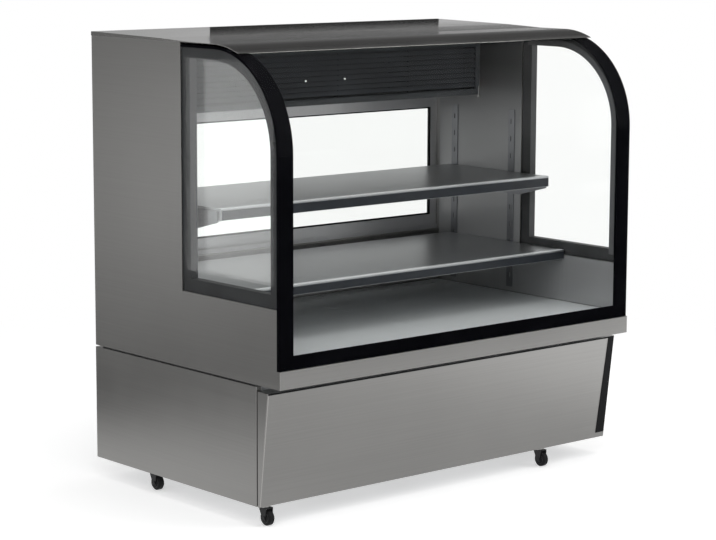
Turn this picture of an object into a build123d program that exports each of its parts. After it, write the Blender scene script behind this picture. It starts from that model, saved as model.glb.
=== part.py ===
"""Refrigerated pastry display case with a bent front glass, on four small casters.

Millimetres. X is the width, the front faces -Y, Z is up. The origin lies on the
floor under the middle of the case.
"""
import math
import os

from build123d import *

# Overall sizes
CASE_WIDTH = 1250.0
CASE_DEPTH = 800.0
CASE_HEIGHT = 1214.0

# Heights above the floor
COVER_TOP = 350.0
BASE_TOP = 361.0
CABINET_BOTTOM = 366.0
FASCIA_TOP = 412.0
DECK_TOP = 430.0
WINDOW_SILL = 565.0
REAR_SILL = 586.0
DOOR_HEAD = 978.0

# Walls, sheets and gaps
WALL = 30.0
SHEET = 1.5
FOAM_SKIN = 2.0
FOLD_RADIUS = 2.0
CANOPY_EDGE = 11.0
CANOPY_FALL = 5.0
CEILING_THICK = 38.0
RUN_GAP = 0.3
PANEL_GAP = 5.0

# Bent front glass
BEND_RADIUS = 260.0
GLASS_THICK = 6.0
BORDER_THICK = 6.0
BORDER_SIDE = 48.0
BORDER_BOTTOM = 34.0
CANOPY_LAP = 40.0
CANOPY_SLOPE = 130.0
LIP_ANGLE = 17.0

# Side windows
PANE = 4.0
WINDOW_REAR_BORDER = 33.0
WINDOW_BOTTOM_BORDER = 35.0
WINDOW_FRONT_BORDER = 40.0
COLUMN_DEPTH = 400.0

# Front cover of the base
COVER_FRONT_TOP = 47.0
COVER_FRONT_BOTTOM = 82.0
SIDE_PANEL_FRONT = 94.0
FLANGE = 15.0

# Rear doors
REAR_FRAME = 50.0
DOOR_THICK = 12.0
DOOR_STILE = 25.0
DOOR_RAIL = 40.0
DOOR_GLASS = 5.0
DOOR_PITCH = 16.0
DOOR_OVERLAP = 30.0
DOOR_TRAVEL = 540.0
TRACK_BASE = 2.0
TRACK_FIN = 2.0
TRACK_HEIGHT_LOW = 12.0
TRACK_HEIGHT_HIGH = 25.0
GRIP_WIDTH = 13.0
GRIP_HEIGHT = 110.0
GRIP_DEEP = 7.0

# Shelves
SHELF_SIDE_GAP = 7.0
SHELF_REAR = 300.0
UPPER_SHELF_TOP = 785.0
UPPER_SHELF_FRONT = 281.0
UPPER_SHELF_EDGE = 30.0
LOWER_SHELF_TOP = 580.0
LOWER_SHELF_FRONT = 215.0
LOWER_SHELF_EDGE = 27.0
STRIP_THICK = 3.0
STRIP_WIDTH = 25.0
STRIP_SLOT_PITCH = 50.0

# Evaporator hood
HOOD_LEFT = 50.0
HOOD_RIGHT = 84.0
HOOD_FRONT = 90.0
HOOD_BOTTOM = 1010.0
LOUVRE_PITCH = 14.0
EVAP_FAN_RADIUS = 52.0

# Casters
CASTER_FROM_LEFT = 37.0
CASTER_FROM_RIGHT = 235.0
CASTER_FROM_FRONT = 110.0
CASTER_FROM_REAR = 218.0
WHEEL_RADIUS = 20.0
WHEEL_HEADROOM = 14.0
WHEEL_WIDTH = 18.0
CASTER_TRAIL = 13.0
AXLE_RADIUS = 3.0
AXLE_GAP = 0.05

# Condensing unit
COMPRESSOR_RADIUS = 72.0
COMPRESSOR_HEIGHT = 175.0
COND_FAN_RADIUS = 105.0
PIPE_RADIUS = 4.0
PIPE_BEND = 12.0

# Worked-out places
BASE_BOTTOM = 2 * WHEEL_RADIUS + WHEEL_HEADROOM
X_SIDE = CASE_WIDTH / 2
X_IN = X_SIDE - WALL
Y_FRONT = -CASE_DEPTH / 2
Y_REAR = CASE_DEPTH / 2
GLASS_TOP = CASE_HEIGHT - CANOPY_EDGE
BEND_Z = GLASS_TOP - BEND_RADIUS
BEND_Y = Y_FRONT + BEND_RADIUS
UNIT = GLASS_THICK + BORDER_THICK
Y_UNIT = Y_FRONT + UNIT
Y_COLUMN = Y_REAR - COLUMN_DEPTH
CEILING = GLASS_TOP - CEILING_THICK
Y_REAR_IN = Y_REAR - REAR_FRAME
FRAME_X = X_SIDE - FLANGE
Y_SIDE_PANEL = Y_FRONT + SIDE_PANEL_FRONT
Y_COVER_END = Y_SIDE_PANEL - PANEL_GAP
Y_GRILLE = Y_REAR - FLANGE


def save(builder, name):
    """Labels a finished piece and writes it."""
    builder.part.label = name
    export_step(builder.part, f"parts/{name}.step")


def spread(count, pitch):
    """Places of a centred row."""
    return [(i - (count - 1) / 2) * pitch for i in range(count)]


def on_bend(inset, angle):
    """Point on the bend, moved inwards by inset, angle degrees forward of its crown."""
    turn = math.radians(angle)
    radius = BEND_RADIUS - inset
    return BEND_Y - radius * math.sin(turn), BEND_Z + radius * math.cos(turn)


def bend_arc(inset, start, end):
    """Arc of the bend between two angles."""
    ThreePointArc(on_bend(inset, start), on_bend(inset, (start + end) / 2), on_bend(inset, end))


def foam_space(width, depth, height):
    """Closed space for the foam, left out inside the steel skins of a panel of this size."""
    Box(width - 2 * FOAM_SKIN, depth - 2 * FOAM_SKIN, height - 2 * FOAM_SKIN, mode=Mode.SUBTRACT)


def bent_sheet(outer, inner, half_width, bottom, start_angle=0.0):
    """Sheet between two insets of the bent line, from the column or from an angle on the bend."""
    upper_end = [on_bend(inner, start_angle), on_bend(outer, start_angle)]
    if start_angle == 0:
        upper_end[1:1] = [(Y_COLUMN, GLASS_TOP - inner), (Y_COLUMN, GLASS_TOP - outer)]
    lower_end = [(Y_FRONT + outer, bottom), (Y_FRONT + inner, bottom)]
    with BuildPart() as sheet:
        with BuildSketch(Plane.YZ.offset(-half_width)):
            with BuildLine():
                bend_arc(outer, start_angle, 90)
                Polyline(on_bend(outer, 90), *lower_end, on_bend(inner, 90))
                bend_arc(inner, 90, start_angle)
                Polyline(*upper_end)
            make_face()
        extrude(amount=2 * half_width)
    return sheet


def folded_tray(width, depth, edge):
    """Sheet folded down on four sides, its top face at z = 0, centred on X, front edge at y = 0."""
    with BuildPart() as folded:
        with Locations((0, depth / 2, -edge / 2)):
            Box(width, depth, edge)
        long_folds = folded.faces().sort_by(Axis.Z)[-1].edges().filter_by(Axis.X)
        fillet(long_folds, radius=FOLD_RADIUS)
        offset(amount=-SHEET, openings=folded.faces().sort_by(Axis.Z)[0])
    return folded


# Insulated cabinet

def side_wall(side):
    """Foamed side wall: a full-height rear column and a low part under the window."""
    x_start = X_IN if side > 0 else -X_SIDE
    with BuildPart() as wall:
        with BuildSketch(Plane.YZ.offset(x_start)):
            with BuildLine():
                Polyline(
                    (Y_UNIT, CABINET_BOTTOM),
                    (Y_REAR, CABINET_BOTTOM),
                    (Y_REAR, GLASS_TOP),
                    (Y_COLUMN, GLASS_TOP),
                    (Y_COLUMN, WINDOW_SILL),
                    (Y_UNIT, WINDOW_SILL),
                    close=True,
                )
            make_face()
        extrude(amount=WALL)
        rear_edges = wall.edges().filter_by(Axis.Z).group_by(Axis.Y)[-1]
        fillet(rear_edges.sort_by(Axis.X)[-1 if side > 0 else 0], radius=3)
    return wall


def window_outline(edge):
    """Closed face of a side window, edge mm in from the border's outer line."""
    rear = Y_COLUMN - (WINDOW_REAR_BORDER if edge else 0)
    low = WINDOW_SILL + (WINDOW_BOTTOM_BORDER if edge else 0)
    inset = WINDOW_FRONT_BORDER if edge else UNIT
    with BuildLine() as line:
        bend_arc(inset, 0, 90)
        Polyline(
            on_bend(inset, 90),
            (Y_FRONT + inset, low),
            (rear, low),
            (rear, GLASS_TOP - inset),
            on_bend(inset, 0),
        )
    return line


def side_pane(x_start):
    with BuildPart() as pane:
        with BuildSketch(Plane.YZ.offset(x_start)):
            add(window_outline(False).line)
            make_face()
        extrude(amount=PANE)
    return pane


def side_glass(side):
    """Outer and inner pane of a side window, two loose solids."""
    outer_x = X_SIDE - PANE if side > 0 else -X_SIDE
    inner_x = X_IN if side > 0 else -X_IN - PANE
    with BuildPart() as panes:
        add(side_pane(outer_x).part)
        add(side_pane(inner_x).part)
    return panes


def side_border(side):
    """Black spacer frame between the two panes."""
    x_start = X_IN + PANE if side > 0 else -X_SIDE + PANE
    with BuildPart() as border:
        with BuildSketch(Plane.YZ.offset(x_start)):
            add(window_outline(False).line)
            make_face()
        extrude(amount=WALL - 2 * PANE)
        with BuildSketch(Plane.YZ.offset(x_start)):
            add(window_outline(True).line)
            make_face()
        extrude(amount=WALL - 2 * PANE, mode=Mode.SUBTRACT)
    return border


for side, side_name in ((-1, "left"), (1, "right")):
    save(side_wall(side), f"side_wall_{side_name}")
    save(side_glass(side), f"side_glass_{side_name}")
    save(side_border(side), f"side_border_{side_name}")

save(bent_sheet(0, GLASS_THICK, X_SIDE, FASCIA_TOP), "front_glass")

with BuildPart() as front_glass_border:
    add(bent_sheet(GLASS_THICK, UNIT, X_SIDE, FASCIA_TOP).part)
    clear_half = X_SIDE - BORDER_SIDE
    clear_bottom = FASCIA_TOP + BORDER_BOTTOM
    add(
        bent_sheet(GLASS_THICK - 1, UNIT + 1, clear_half, clear_bottom, LIP_ANGLE).part,
        mode=Mode.SUBTRACT,
    )
save(front_glass_border, "front_glass_border")

FASCIA_HEIGHT = FASCIA_TOP - CABINET_BOTTOM
with BuildPart() as front_fascia:
    with Locations((0, (Y_FRONT + Y_UNIT) / 2, CABINET_BOTTOM + FASCIA_HEIGHT / 2)):
        Box(CASE_WIDTH, UNIT, FASCIA_HEIGHT)
    upright = front_fascia.edges().filter_by(Axis.Z)
    fillet(upright.group_by(Axis.Y)[0], radius=FOLD_RADIUS)
    offset(amount=-SHEET, openings=front_fascia.faces().sort_by(Axis.Y)[-1])
save(front_fascia, "front_fascia")

TUB_RIM = 24.0
TUB_FLOOR = 34.0
DRAIN_RADIUS = 9.0
DRAIN_X = X_SIDE - 295.0
DRAIN_Y = Y_REAR - 150.0
TUB_DEPTH = Y_REAR_IN - Y_UNIT
Y_TUB = (Y_REAR_IN + Y_UNIT) / 2
with BuildPart() as insulated_tub:
    tub_height = DECK_TOP - SHEET - CABINET_BOTTOM
    with Locations((0, Y_TUB, CABINET_BOTTOM + tub_height / 2)):
        Box(2 * X_IN, TUB_DEPTH, tub_height)
    with BuildSketch(Plane.XY.offset(DECK_TOP - SHEET)):
        with Locations((-X_IN / 2, Y_TUB), (X_IN / 2, Y_TUB)):
            RectangleRounded(X_IN - 1.5 * TUB_RIM, TUB_DEPTH - 2 * TUB_RIM, 20)
    extrude(amount=-(tub_height - TUB_FLOOR), mode=Mode.SUBTRACT)
    with Locations((DRAIN_X, DRAIN_Y, CABINET_BOTTOM + TUB_FLOOR)):
        Hole(radius=DRAIN_RADIUS)
save(insulated_tub, "insulated_tub")

DECK_CLEAR = 1.0
SLOT_LENGTH = 60.0
SLOT_WIDTH = 8.0
DECK_SLOTS = 6
with BuildPart() as deck_panels:
    for side in (-1, 1):
        panel_width = X_IN - 1.5 * DECK_CLEAR
        panel_depth = TUB_DEPTH - 2 * DECK_CLEAR
        centre_x = side * (X_IN / 2 - DECK_CLEAR / 4)
        with BuildSketch(Plane.XY.offset(DECK_TOP - SHEET)):
            with Locations((centre_x, Y_TUB)):
                Rectangle(panel_width, panel_depth)
            for slot_y in (Y_TUB - panel_depth / 2 + 45, Y_TUB + panel_depth / 2 - 45):
                with Locations((centre_x, slot_y)):
                    with GridLocations(SLOT_LENGTH + 25, 0, DECK_SLOTS, 1):
                        Rectangle(SLOT_LENGTH, SLOT_WIDTH, mode=Mode.SUBTRACT)
        extrude(amount=SHEET)
save(deck_panels, "deck_panels")

# Roof: a thin folded steel canopy over an insulated ceiling panel
with BuildPart() as canopy_top:
    with BuildSketch(Plane.YZ.offset(-X_SIDE)):
        front = Y_COLUMN - CANOPY_LAP
        with BuildLine():
            bend_arc(0, LIP_ANGLE, 0)
            Polyline(
                on_bend(0, 0),
                (Y_REAR, GLASS_TOP),
                (Y_REAR, CASE_HEIGHT),
                (front + CANOPY_SLOPE, CASE_HEIGHT - CANOPY_FALL),
                (front, GLASS_TOP + SHEET),
                on_bend(-SHEET, 0),
            )
            bend_arc(-SHEET, 0, LIP_ANGLE)
            Line(on_bend(-SHEET, LIP_ANGLE), on_bend(0, LIP_ANGLE))
        make_face()
    extrude(amount=CASE_WIDTH)
    fillet(canopy_top.edges().filter_by(Axis.X).sort_by(Axis.Z)[-2:], radius=3)
save(canopy_top, "canopy_top")

with BuildPart() as ceiling_panel:
    with Locations((0, (Y_COLUMN + Y_REAR) / 2, (CEILING + GLASS_TOP) / 2)):
        Box(2 * X_IN, COLUMN_DEPTH, CEILING_THICK)
        foam_space(2 * X_IN, COLUMN_DEPTH, CEILING_THICK)
    fillet(ceiling_panel.edges().filter_by(Axis.X).group_by(Axis.Z)[0].sort_by(Axis.Y)[0], radius=5)
save(ceiling_panel, "ceiling_panel")

LAMP_WIDTH = 28.0
LAMP_HEIGHT = 20.0
LAMP_HALF = X_IN - 35.0
LENS = 3.0
LAMP_REACH = max(0.0, BEND_Y - (Y_COLUMN - LAMP_WIDTH))
LAMP_TOP = BEND_Z + math.sqrt((BEND_RADIUS - UNIT) ** 2 - LAMP_REACH ** 2)
with BuildPart() as lamp_housing:
    with BuildSketch(Plane.YZ.offset(-LAMP_HALF)):
        with BuildLine():
            Polyline(
                (Y_COLUMN, LAMP_TOP),
                (Y_COLUMN, LAMP_TOP - LAMP_HEIGHT - LENS),
                (Y_COLUMN - SHEET, LAMP_TOP - LAMP_HEIGHT - LENS),
                (Y_COLUMN - SHEET, LAMP_TOP - LAMP_HEIGHT),
                (Y_COLUMN - LAMP_WIDTH + SHEET, LAMP_TOP - LAMP_HEIGHT),
                (Y_COLUMN - LAMP_WIDTH + SHEET, LAMP_TOP - LAMP_HEIGHT - LENS),
                (Y_COLUMN - LAMP_WIDTH, LAMP_TOP - LAMP_HEIGHT - LENS),
                (Y_COLUMN - LAMP_WIDTH, LAMP_TOP - 8),
                (Y_COLUMN - LAMP_WIDTH + 8, LAMP_TOP),
                close=True,
            )
        make_face()
    extrude(amount=2 * LAMP_HALF)
save(lamp_housing, "lamp_housing")

with BuildPart() as lamp_diffuser:
    with Locations((0, Y_COLUMN - LAMP_WIDTH / 2, LAMP_TOP - LAMP_HEIGHT - LENS / 2)):
        Box(2 * LAMP_HALF, LAMP_WIDTH - 2 * SHEET, LENS)
save(lamp_diffuser, "lamp_diffuser")

# Rear frame, tracks and sliding doors
SILL_HEIGHT = REAR_SILL - CABINET_BOTTOM
with BuildPart() as rear_sill_panel:
    with Locations((0, Y_REAR - REAR_FRAME / 2, CABINET_BOTTOM + SILL_HEIGHT / 2)):
        Box(2 * X_IN, REAR_FRAME, SILL_HEIGHT)
        foam_space(2 * X_IN, REAR_FRAME, SILL_HEIGHT)
    fillet(rear_sill_panel.edges().filter_by(Axis.X).group_by(Axis.Z)[-1], radius=3)
save(rear_sill_panel, "rear_sill_panel")

HEADER_BOTTOM = DOOR_HEAD + TRACK_HEIGHT_HIGH
HEADER_HEIGHT = CEILING - HEADER_BOTTOM
Y_FRAME = Y_REAR - REAR_FRAME / 2
PANEL_WIDTH = 150.0
PANEL_HEIGHT = 62.0
PANEL_X = -X_SIDE + 195.0
PANEL_DEPTH = 22.0
HEADER_MID = HEADER_BOTTOM + HEADER_HEIGHT / 2
with BuildPart() as rear_header:
    with Locations((0, Y_FRAME, HEADER_MID)):
        Box(2 * X_IN, REAR_FRAME, HEADER_HEIGHT)
    pocket_y = Y_REAR - PANEL_DEPTH / 2
    with Locations((PANEL_X, pocket_y, HEADER_MID)):
        Box(PANEL_WIDTH - 10, PANEL_DEPTH, PANEL_HEIGHT - 10, mode=Mode.SUBTRACT)
    for low, high in [(-X_IN, PANEL_X - PANEL_WIDTH / 2), (PANEL_X + PANEL_WIDTH / 2, X_IN)]:
        with Locations(((low + high) / 2, Y_FRAME, HEADER_MID)):
            foam_space(high - low, REAR_FRAME, HEADER_HEIGHT)
save(rear_header, "rear_header")

Y_DOOR_IN = Y_FRAME - DOOR_PITCH / 2
Y_DOOR_OUT = Y_DOOR_IN + DOOR_PITCH


def track(z_base, height, up):
    """Channel with three fins, which hold the doors between them."""
    depth = 2 * DOOR_PITCH + TRACK_FIN
    y_mid = (Y_DOOR_IN + Y_DOOR_OUT) / 2
    with BuildPart() as channel:
        base_z = z_base + up * TRACK_BASE / 2
        with Locations((0, y_mid, base_z)):
            Box(2 * X_IN, depth, TRACK_BASE)
        with Locations(*[(0, y_mid + y, z_base + up * height / 2) for y in spread(3, DOOR_PITCH)]):
            Box(2 * X_IN, TRACK_FIN, height)
    return channel


with BuildPart() as door_tracks:
    add(track(REAR_SILL, TRACK_HEIGHT_LOW, 1).part)
    add(track(HEADER_BOTTOM, TRACK_HEIGHT_HIGH, -1).part)
save(door_tracks, "door_tracks")

DOOR_BOTTOM = REAR_SILL + TRACK_BASE + RUN_GAP
DOOR_TOP = HEADER_BOTTOM - TRACK_BASE - 8.0
DOOR_HEIGHT = DOOR_TOP - DOOR_BOTTOM
DOOR_END_GAP = 1.0
DOOR_WIDTH = X_IN - DOOR_END_GAP + DOOR_OVERLAP / 2
GLASS_IN_RAIL = 8.0


def door(side):
    """Frame with its grip, and its pane, for the door that closes one side."""
    y_mid = Y_DOOR_OUT if side < 0 else Y_DOOR_IN
    x_mid = side * (DOOR_WIDTH - DOOR_OVERLAP) / 2
    centre = (x_mid, y_mid, DOOR_BOTTOM + DOOR_HEIGHT / 2)
    clear_width = DOOR_WIDTH - 2 * DOOR_STILE
    clear_height = DOOR_HEIGHT - 2 * DOOR_RAIL
    pane_size = (clear_width + 2 * GLASS_IN_RAIL, DOOR_GLASS, clear_height + 2 * GLASS_IN_RAIL)
    with BuildPart() as frame:
        with Locations(centre):
            Box(DOOR_WIDTH, DOOR_THICK, DOOR_HEIGHT)
            Box(clear_width, DOOR_THICK, clear_height, mode=Mode.SUBTRACT)
            Box(*pane_size, mode=Mode.SUBTRACT)
        grip_x = x_mid + side * (DOOR_WIDTH - DOOR_STILE) / 2
        with BuildSketch(Plane.XZ.offset(-y_mid - DOOR_THICK / 2)):
            with Locations((grip_x, centre[2])):
                SlotOverall(GRIP_HEIGHT, GRIP_WIDTH, rotation=90)
        extrude(amount=GRIP_DEEP, mode=Mode.SUBTRACT)
    with BuildPart() as pane:
        with Locations(centre):
            Box(*pane_size)
    return frame, pane


for side, side_name in ((-1, "left"), (1, "right")):
    frame, pane = door(side)
    save(frame, f"door_{side_name}_frame")
    save(pane, f"door_{side_name}_glass")

# Shelves, their wall strips and arms
STRIP_Y = (40.0, 280.0)
STRIP_BOTTOM = 445.0
STRIP_SLOTS = 10
STRIP_HEIGHT = STRIP_SLOTS * STRIP_SLOT_PITCH + 20.0
with BuildPart() as shelf_strips:
    for side in (-1, 1):
        strip_x = side * (X_IN - STRIP_THICK / 2)
        for y in STRIP_Y:
            with Locations((strip_x, Y_COLUMN + y, STRIP_BOTTOM + STRIP_HEIGHT / 2)):
                Box(STRIP_THICK, STRIP_WIDTH, STRIP_HEIGHT)
                with Locations(*[(0, 0, z) for z in spread(STRIP_SLOTS, STRIP_SLOT_PITCH)]):
                    Box(STRIP_THICK, 5, 14, mode=Mode.SUBTRACT)
save(shelf_strips, "shelf_strips")

ARM_THICK = 2.5
ARM_LEDGE = 22.0
ARM_TIP = 14.0
SHELF_HALF = X_IN - SHELF_SIDE_GAP


def shelf(top, front, edge):
    """Folded steel shelf, front mm behind the glass line."""
    y_front = Y_FRONT + front
    folded = folded_tray(2 * SHELF_HALF, Y_COLUMN + SHELF_REAR - y_front, edge)
    with BuildPart() as placed:
        add(folded.part.moved(Location((0, y_front, top))))
    return placed


def shelf_arm(side, top, front, edge):
    """Arm at a shelf's end: a tapered web and a ledge under the shelf's edge."""
    y_tip = Y_FRONT + front + 12
    y_back = Y_COLUMN + STRIP_Y[1] + STRIP_WIDTH / 2
    under = top - edge
    x_web = side * (X_IN - STRIP_THICK - ARM_THICK / 2)
    with BuildPart() as arm:
        with BuildSketch(Plane.YZ.offset(x_web)):
            with BuildLine():
                Polyline(
                    (y_tip, top - 6),
                    (y_back, top - 6),
                    (y_back, under - 34),
                    (Y_COLUMN, under - 34),
                    (y_tip, under - ARM_TIP + 8),
                    close=True,
                )
            make_face()
        extrude(amount=ARM_THICK / 2, both=True)
        ledge_x = side * (X_IN - STRIP_THICK - ARM_LEDGE / 2)
        with Locations((ledge_x, (y_tip + y_back) / 2, under - ARM_THICK / 2)):
            Box(ARM_LEDGE, y_back - y_tip, ARM_THICK)
    return arm


SHELVES = (
    ("upper_shelf", UPPER_SHELF_TOP, UPPER_SHELF_FRONT, UPPER_SHELF_EDGE),
    ("lower_shelf", LOWER_SHELF_TOP, LOWER_SHELF_FRONT, LOWER_SHELF_EDGE),
)
for name, top, front, edge in SHELVES:
    save(shelf(top, front, edge), name)

with BuildPart() as shelf_arms:
    for name, top, front, edge in SHELVES:
        for side in (-1, 1):
            add(shelf_arm(side, top, front, edge).part)
save(shelf_arms, "shelf_arms")

# Evaporator under the ceiling: hood, louvres, coil and two fans
HOOD_X0 = -X_IN + HOOD_LEFT
HOOD_X1 = X_IN - HOOD_RIGHT
HOOD_WIDTH = HOOD_X1 - HOOD_X0
HOOD_MID = (HOOD_X0 + HOOD_X1) / 2
Y_HOOD = Y_COLUMN + HOOD_FRONT
HOOD_DEPTH = Y_REAR_IN - Y_HOOD
HOOD_HEIGHT = CEILING - HOOD_BOTTOM
HOOD_RIM = 12.0
RETURN_SLOTS = 10
RETURN_PITCH = 84.0
Y_FAN_PLATE = Y_HOOD + 70.0
EVAP_FAN_Z = HOOD_BOTTOM + HOOD_HEIGHT / 2
EVAP_FAN_X = [HOOD_MID + x for x in spread(2, HOOD_WIDTH / 2)]
EVAP_HOLE = EVAP_FAN_RADIUS + 3.0
COIL_GAP = 40.0
EVAP_COIL_DEPTH = 80.0
EVAP_FINS = 16
FIN_CUT = 12.0
TUBE_RADIUS = 4.8
EVAP_COIL_HEIGHT = HOOD_HEIGHT - 2 * SHEET - 12
EVAP_COIL_Y = Y_FAN_PLATE + 20 + EVAP_COIL_DEPTH / 2
EVAP_COIL_Z = HOOD_BOTTOM + SHEET + 6
LINE_Z = EVAP_COIL_Z + EVAP_COIL_HEIGHT / 8
LINE_Y = (EVAP_COIL_Y - EVAP_COIL_DEPTH / 4, EVAP_COIL_Y + EVAP_COIL_DEPTH / 4)
with BuildPart() as evap_hood:
    with Locations((HOOD_MID, Y_HOOD + HOOD_DEPTH / 2, HOOD_BOTTOM + HOOD_HEIGHT / 2)):
        Box(HOOD_WIDTH, HOOD_DEPTH, HOOD_HEIGHT)
        Box(HOOD_WIDTH - 2 * SHEET, HOOD_DEPTH - 2 * SHEET, HOOD_HEIGHT - 2 * SHEET, mode=Mode.SUBTRACT)
    with Locations((HOOD_MID, Y_HOOD, EVAP_FAN_Z)):
        Box(HOOD_WIDTH - 2 * HOOD_RIM, 4 * SHEET, HOOD_HEIGHT - 2 * HOOD_RIM, mode=Mode.SUBTRACT)
    with Locations((HOOD_MID, Y_REAR_IN - 60, HOOD_BOTTOM)):
        with GridLocations(RETURN_PITCH, 0, RETURN_SLOTS, 1):
            Box(RETURN_PITCH - 14, 30, 4 * SHEET, mode=Mode.SUBTRACT)
    with Locations((HOOD_MID, Y_FAN_PLATE, EVAP_FAN_Z)):
        Box(HOOD_WIDTH - 2 * SHEET, SHEET, HOOD_HEIGHT - 2 * SHEET)
    with BuildSketch(Plane.XZ.offset(-Y_FAN_PLATE - SHEET)):
        with Locations(*[(x, EVAP_FAN_Z) for x in EVAP_FAN_X]):
            Circle(EVAP_HOLE)
    extrude(amount=2 * SHEET, mode=Mode.SUBTRACT)
    with BuildSketch(Plane.YZ.offset(HOOD_X1 - 2 * SHEET)):
        with Locations(*[(y, LINE_Z) for y in LINE_Y]):
            Circle(PIPE_RADIUS + 2)
    extrude(amount=3 * SHEET, mode=Mode.SUBTRACT)
save(evap_hood, "evap_hood")

LOUVRE_TILT = 55.0
LOUVRE_CHORD = 14.0
with BuildPart() as evap_grille:
    grille_width = HOOD_WIDTH - 2 * HOOD_RIM - 1
    grille_height = HOOD_HEIGHT - 2 * HOOD_RIM - 1
    y_grille = Y_HOOD + 6
    with Locations((HOOD_MID, y_grille, EVAP_FAN_Z)):
        Box(grille_width, 12, grille_height)
        Box(grille_width - 8, 12, grille_height - 8, mode=Mode.SUBTRACT)
    blades = int((grille_height - 8) // LOUVRE_PITCH)
    with Locations(*[Location((HOOD_MID, y_grille, EVAP_FAN_Z + z), (LOUVRE_TILT, 0, 0))
                     for z in spread(blades, LOUVRE_PITCH)]):
        Box(grille_width - 4, LOUVRE_CHORD, 1.2)
    with Locations(*[(HOOD_MID + x, y_grille + 4, EVAP_FAN_Z) for x in spread(3, grille_width / 4)]):
        Box(3, 4, grille_height - 4)
save(evap_grille, "evap_grille")


def finned_block(width, depth, height, fins):
    """Block of fins, width along X, centred, standing on z = 0."""
    pitch = width / fins
    with BuildPart() as block:
        with Locations((0, 0, height / 2)):
            Box(width, depth, height)
        cuts = [(x, side * depth / 2, height / 2) for x in spread(fins - 1, pitch) for side in (-1, 1)]
        with Locations(*cuts):
            Box(pitch / 2, FIN_CUT, height - 8, mode=Mode.SUBTRACT)
    return block


def return_bend(x, y, z, end, span):
    """Half-round tube that joins two tubes of one row, at the end face x."""
    with BuildPart() as bend:
        with BuildSketch(Plane(origin=(x, y, z), z_dir=(end, 0, 0))):
            RegularPolygon(TUBE_RADIUS, 6)
        revolve(axis=Axis((x, y, z + span / 2), (0, end, 0)), revolution_arc=180)
    return bend


with BuildPart() as evap_coil:
    fins = finned_block(HOOD_WIDTH - 2 * COIL_GAP, EVAP_COIL_DEPTH, EVAP_COIL_HEIGHT, EVAP_FINS)
    add(fins.part.moved(Location((HOOD_MID, EVAP_COIL_Y, EVAP_COIL_Z))))
    foot_height = EVAP_COIL_Z - HOOD_BOTTOM - SHEET
    with Locations(*[(x, EVAP_COIL_Y, EVAP_COIL_Z - foot_height / 2) for x in EVAP_FAN_X]):
        Box(20, EVAP_COIL_DEPTH, foot_height)
save(evap_coil, "evap_coil")


def fan_rotor(radius, hub_radius, depth, blades):
    """Axial fan turning about Y, centred on the origin: hub and twisted blades."""
    with BuildPart() as rotor:
        with BuildSketch(Plane.XZ.offset(-depth / 2)):
            Circle(hub_radius)
        extrude(amount=depth)
        root = Plane.XY.offset(hub_radius - 3)
        tip = Plane.XY.offset(radius * 0.93)
        with BuildPart(mode=Mode.PRIVATE) as blade:
            with BuildSketch(root):
                Rectangle(hub_radius * 1.0, 1.6, rotation=38)
            with BuildSketch(tip):
                Rectangle(radius * 0.72, 1.6, rotation=20)
            loft()
        for i in range(blades):
            add(blade.part.rotate(Axis.Y, i * 360 / blades))
    return rotor


EVAP_HUB = 17.0
EVAP_FAN_DEPTH = 22.0
MOTOR_GAP = 0.6
Y_EVAP_FAN = Y_FAN_PLATE
for x, side_name in zip(EVAP_FAN_X, ("left", "right")):
    rotor = fan_rotor(EVAP_FAN_RADIUS, EVAP_HUB, EVAP_FAN_DEPTH, 5)
    with BuildPart() as placed:
        add(rotor.part.moved(Location((x, Y_EVAP_FAN, EVAP_FAN_Z))))
    save(placed, f"evap_fan_{side_name}")

with BuildPart() as evap_fan_motors:
    for x in EVAP_FAN_X:
        motor_start = Y_EVAP_FAN - EVAP_FAN_DEPTH / 2 - MOTOR_GAP
        with BuildSketch(Plane.XZ.offset(-motor_start)):
            with Locations((x, EVAP_FAN_Z)):
                Circle(EVAP_HUB - 1)
        extrude(amount=26)
        arm_reach = EVAP_HOLE + 8
        for angle in (45, 135, 225, 315):
            spoke = Location((x, motor_start - 13, EVAP_FAN_Z), (0, angle, 0))
            with Locations(spoke):
                with Locations((arm_reach / 2 + 6, 0, 0)):
                    Box(arm_reach - 12, 2, 5)
                with Locations((arm_reach - 1, (Y_FAN_PLATE - SHEET / 2 - motor_start + 13) / 2, 0)):
                    Box(3, Y_FAN_PLATE - SHEET / 2 - motor_start + 13, 5)
save(evap_fan_motors, "evap_fan_motors")

# Control panel and its two rocker switches, at the back
ROCKER_WIDTH = 20.0
ROCKER_HEIGHT = 28.0
ROCKER_GAP = 0.5
ROCKER_X = [PANEL_X + 22, PANEL_X + 52]
BEZEL = 3.0
ROCKER_TILT = 8.0
ROCKER_DEPTH = 11.0
DISPLAY_WIDTH = 62.0
DISPLAY_HEIGHT = 30.0
Y_PIVOT = Y_REAR - 9.5
with BuildPart() as control_panel:
    with Locations((PANEL_X, Y_REAR - BEZEL / 2, HEADER_MID)):
        Box(PANEL_WIDTH - 10.6, BEZEL, PANEL_HEIGHT - 10.6)
    with Locations((PANEL_X - 2, Y_REAR - BEZEL - 9, HEADER_MID)):
        Box(PANEL_WIDTH - 24, 18, PANEL_HEIGHT - 16)
    fillet(control_panel.edges().filter_by(Axis.Y).group_by(Axis.Y)[-1], radius=3)
    with Locations((PANEL_X - 36, Y_REAR, HEADER_MID)):
        Box(DISPLAY_WIDTH, 2, DISPLAY_HEIGHT, mode=Mode.SUBTRACT)
    with Locations(*[(x, Y_REAR - 9, HEADER_MID) for x in ROCKER_X]):
        Box(ROCKER_WIDTH + 2 * ROCKER_GAP, 18, ROCKER_HEIGHT + 2 * ROCKER_GAP + 2, mode=Mode.SUBTRACT)
save(control_panel, "control_panel")


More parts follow.
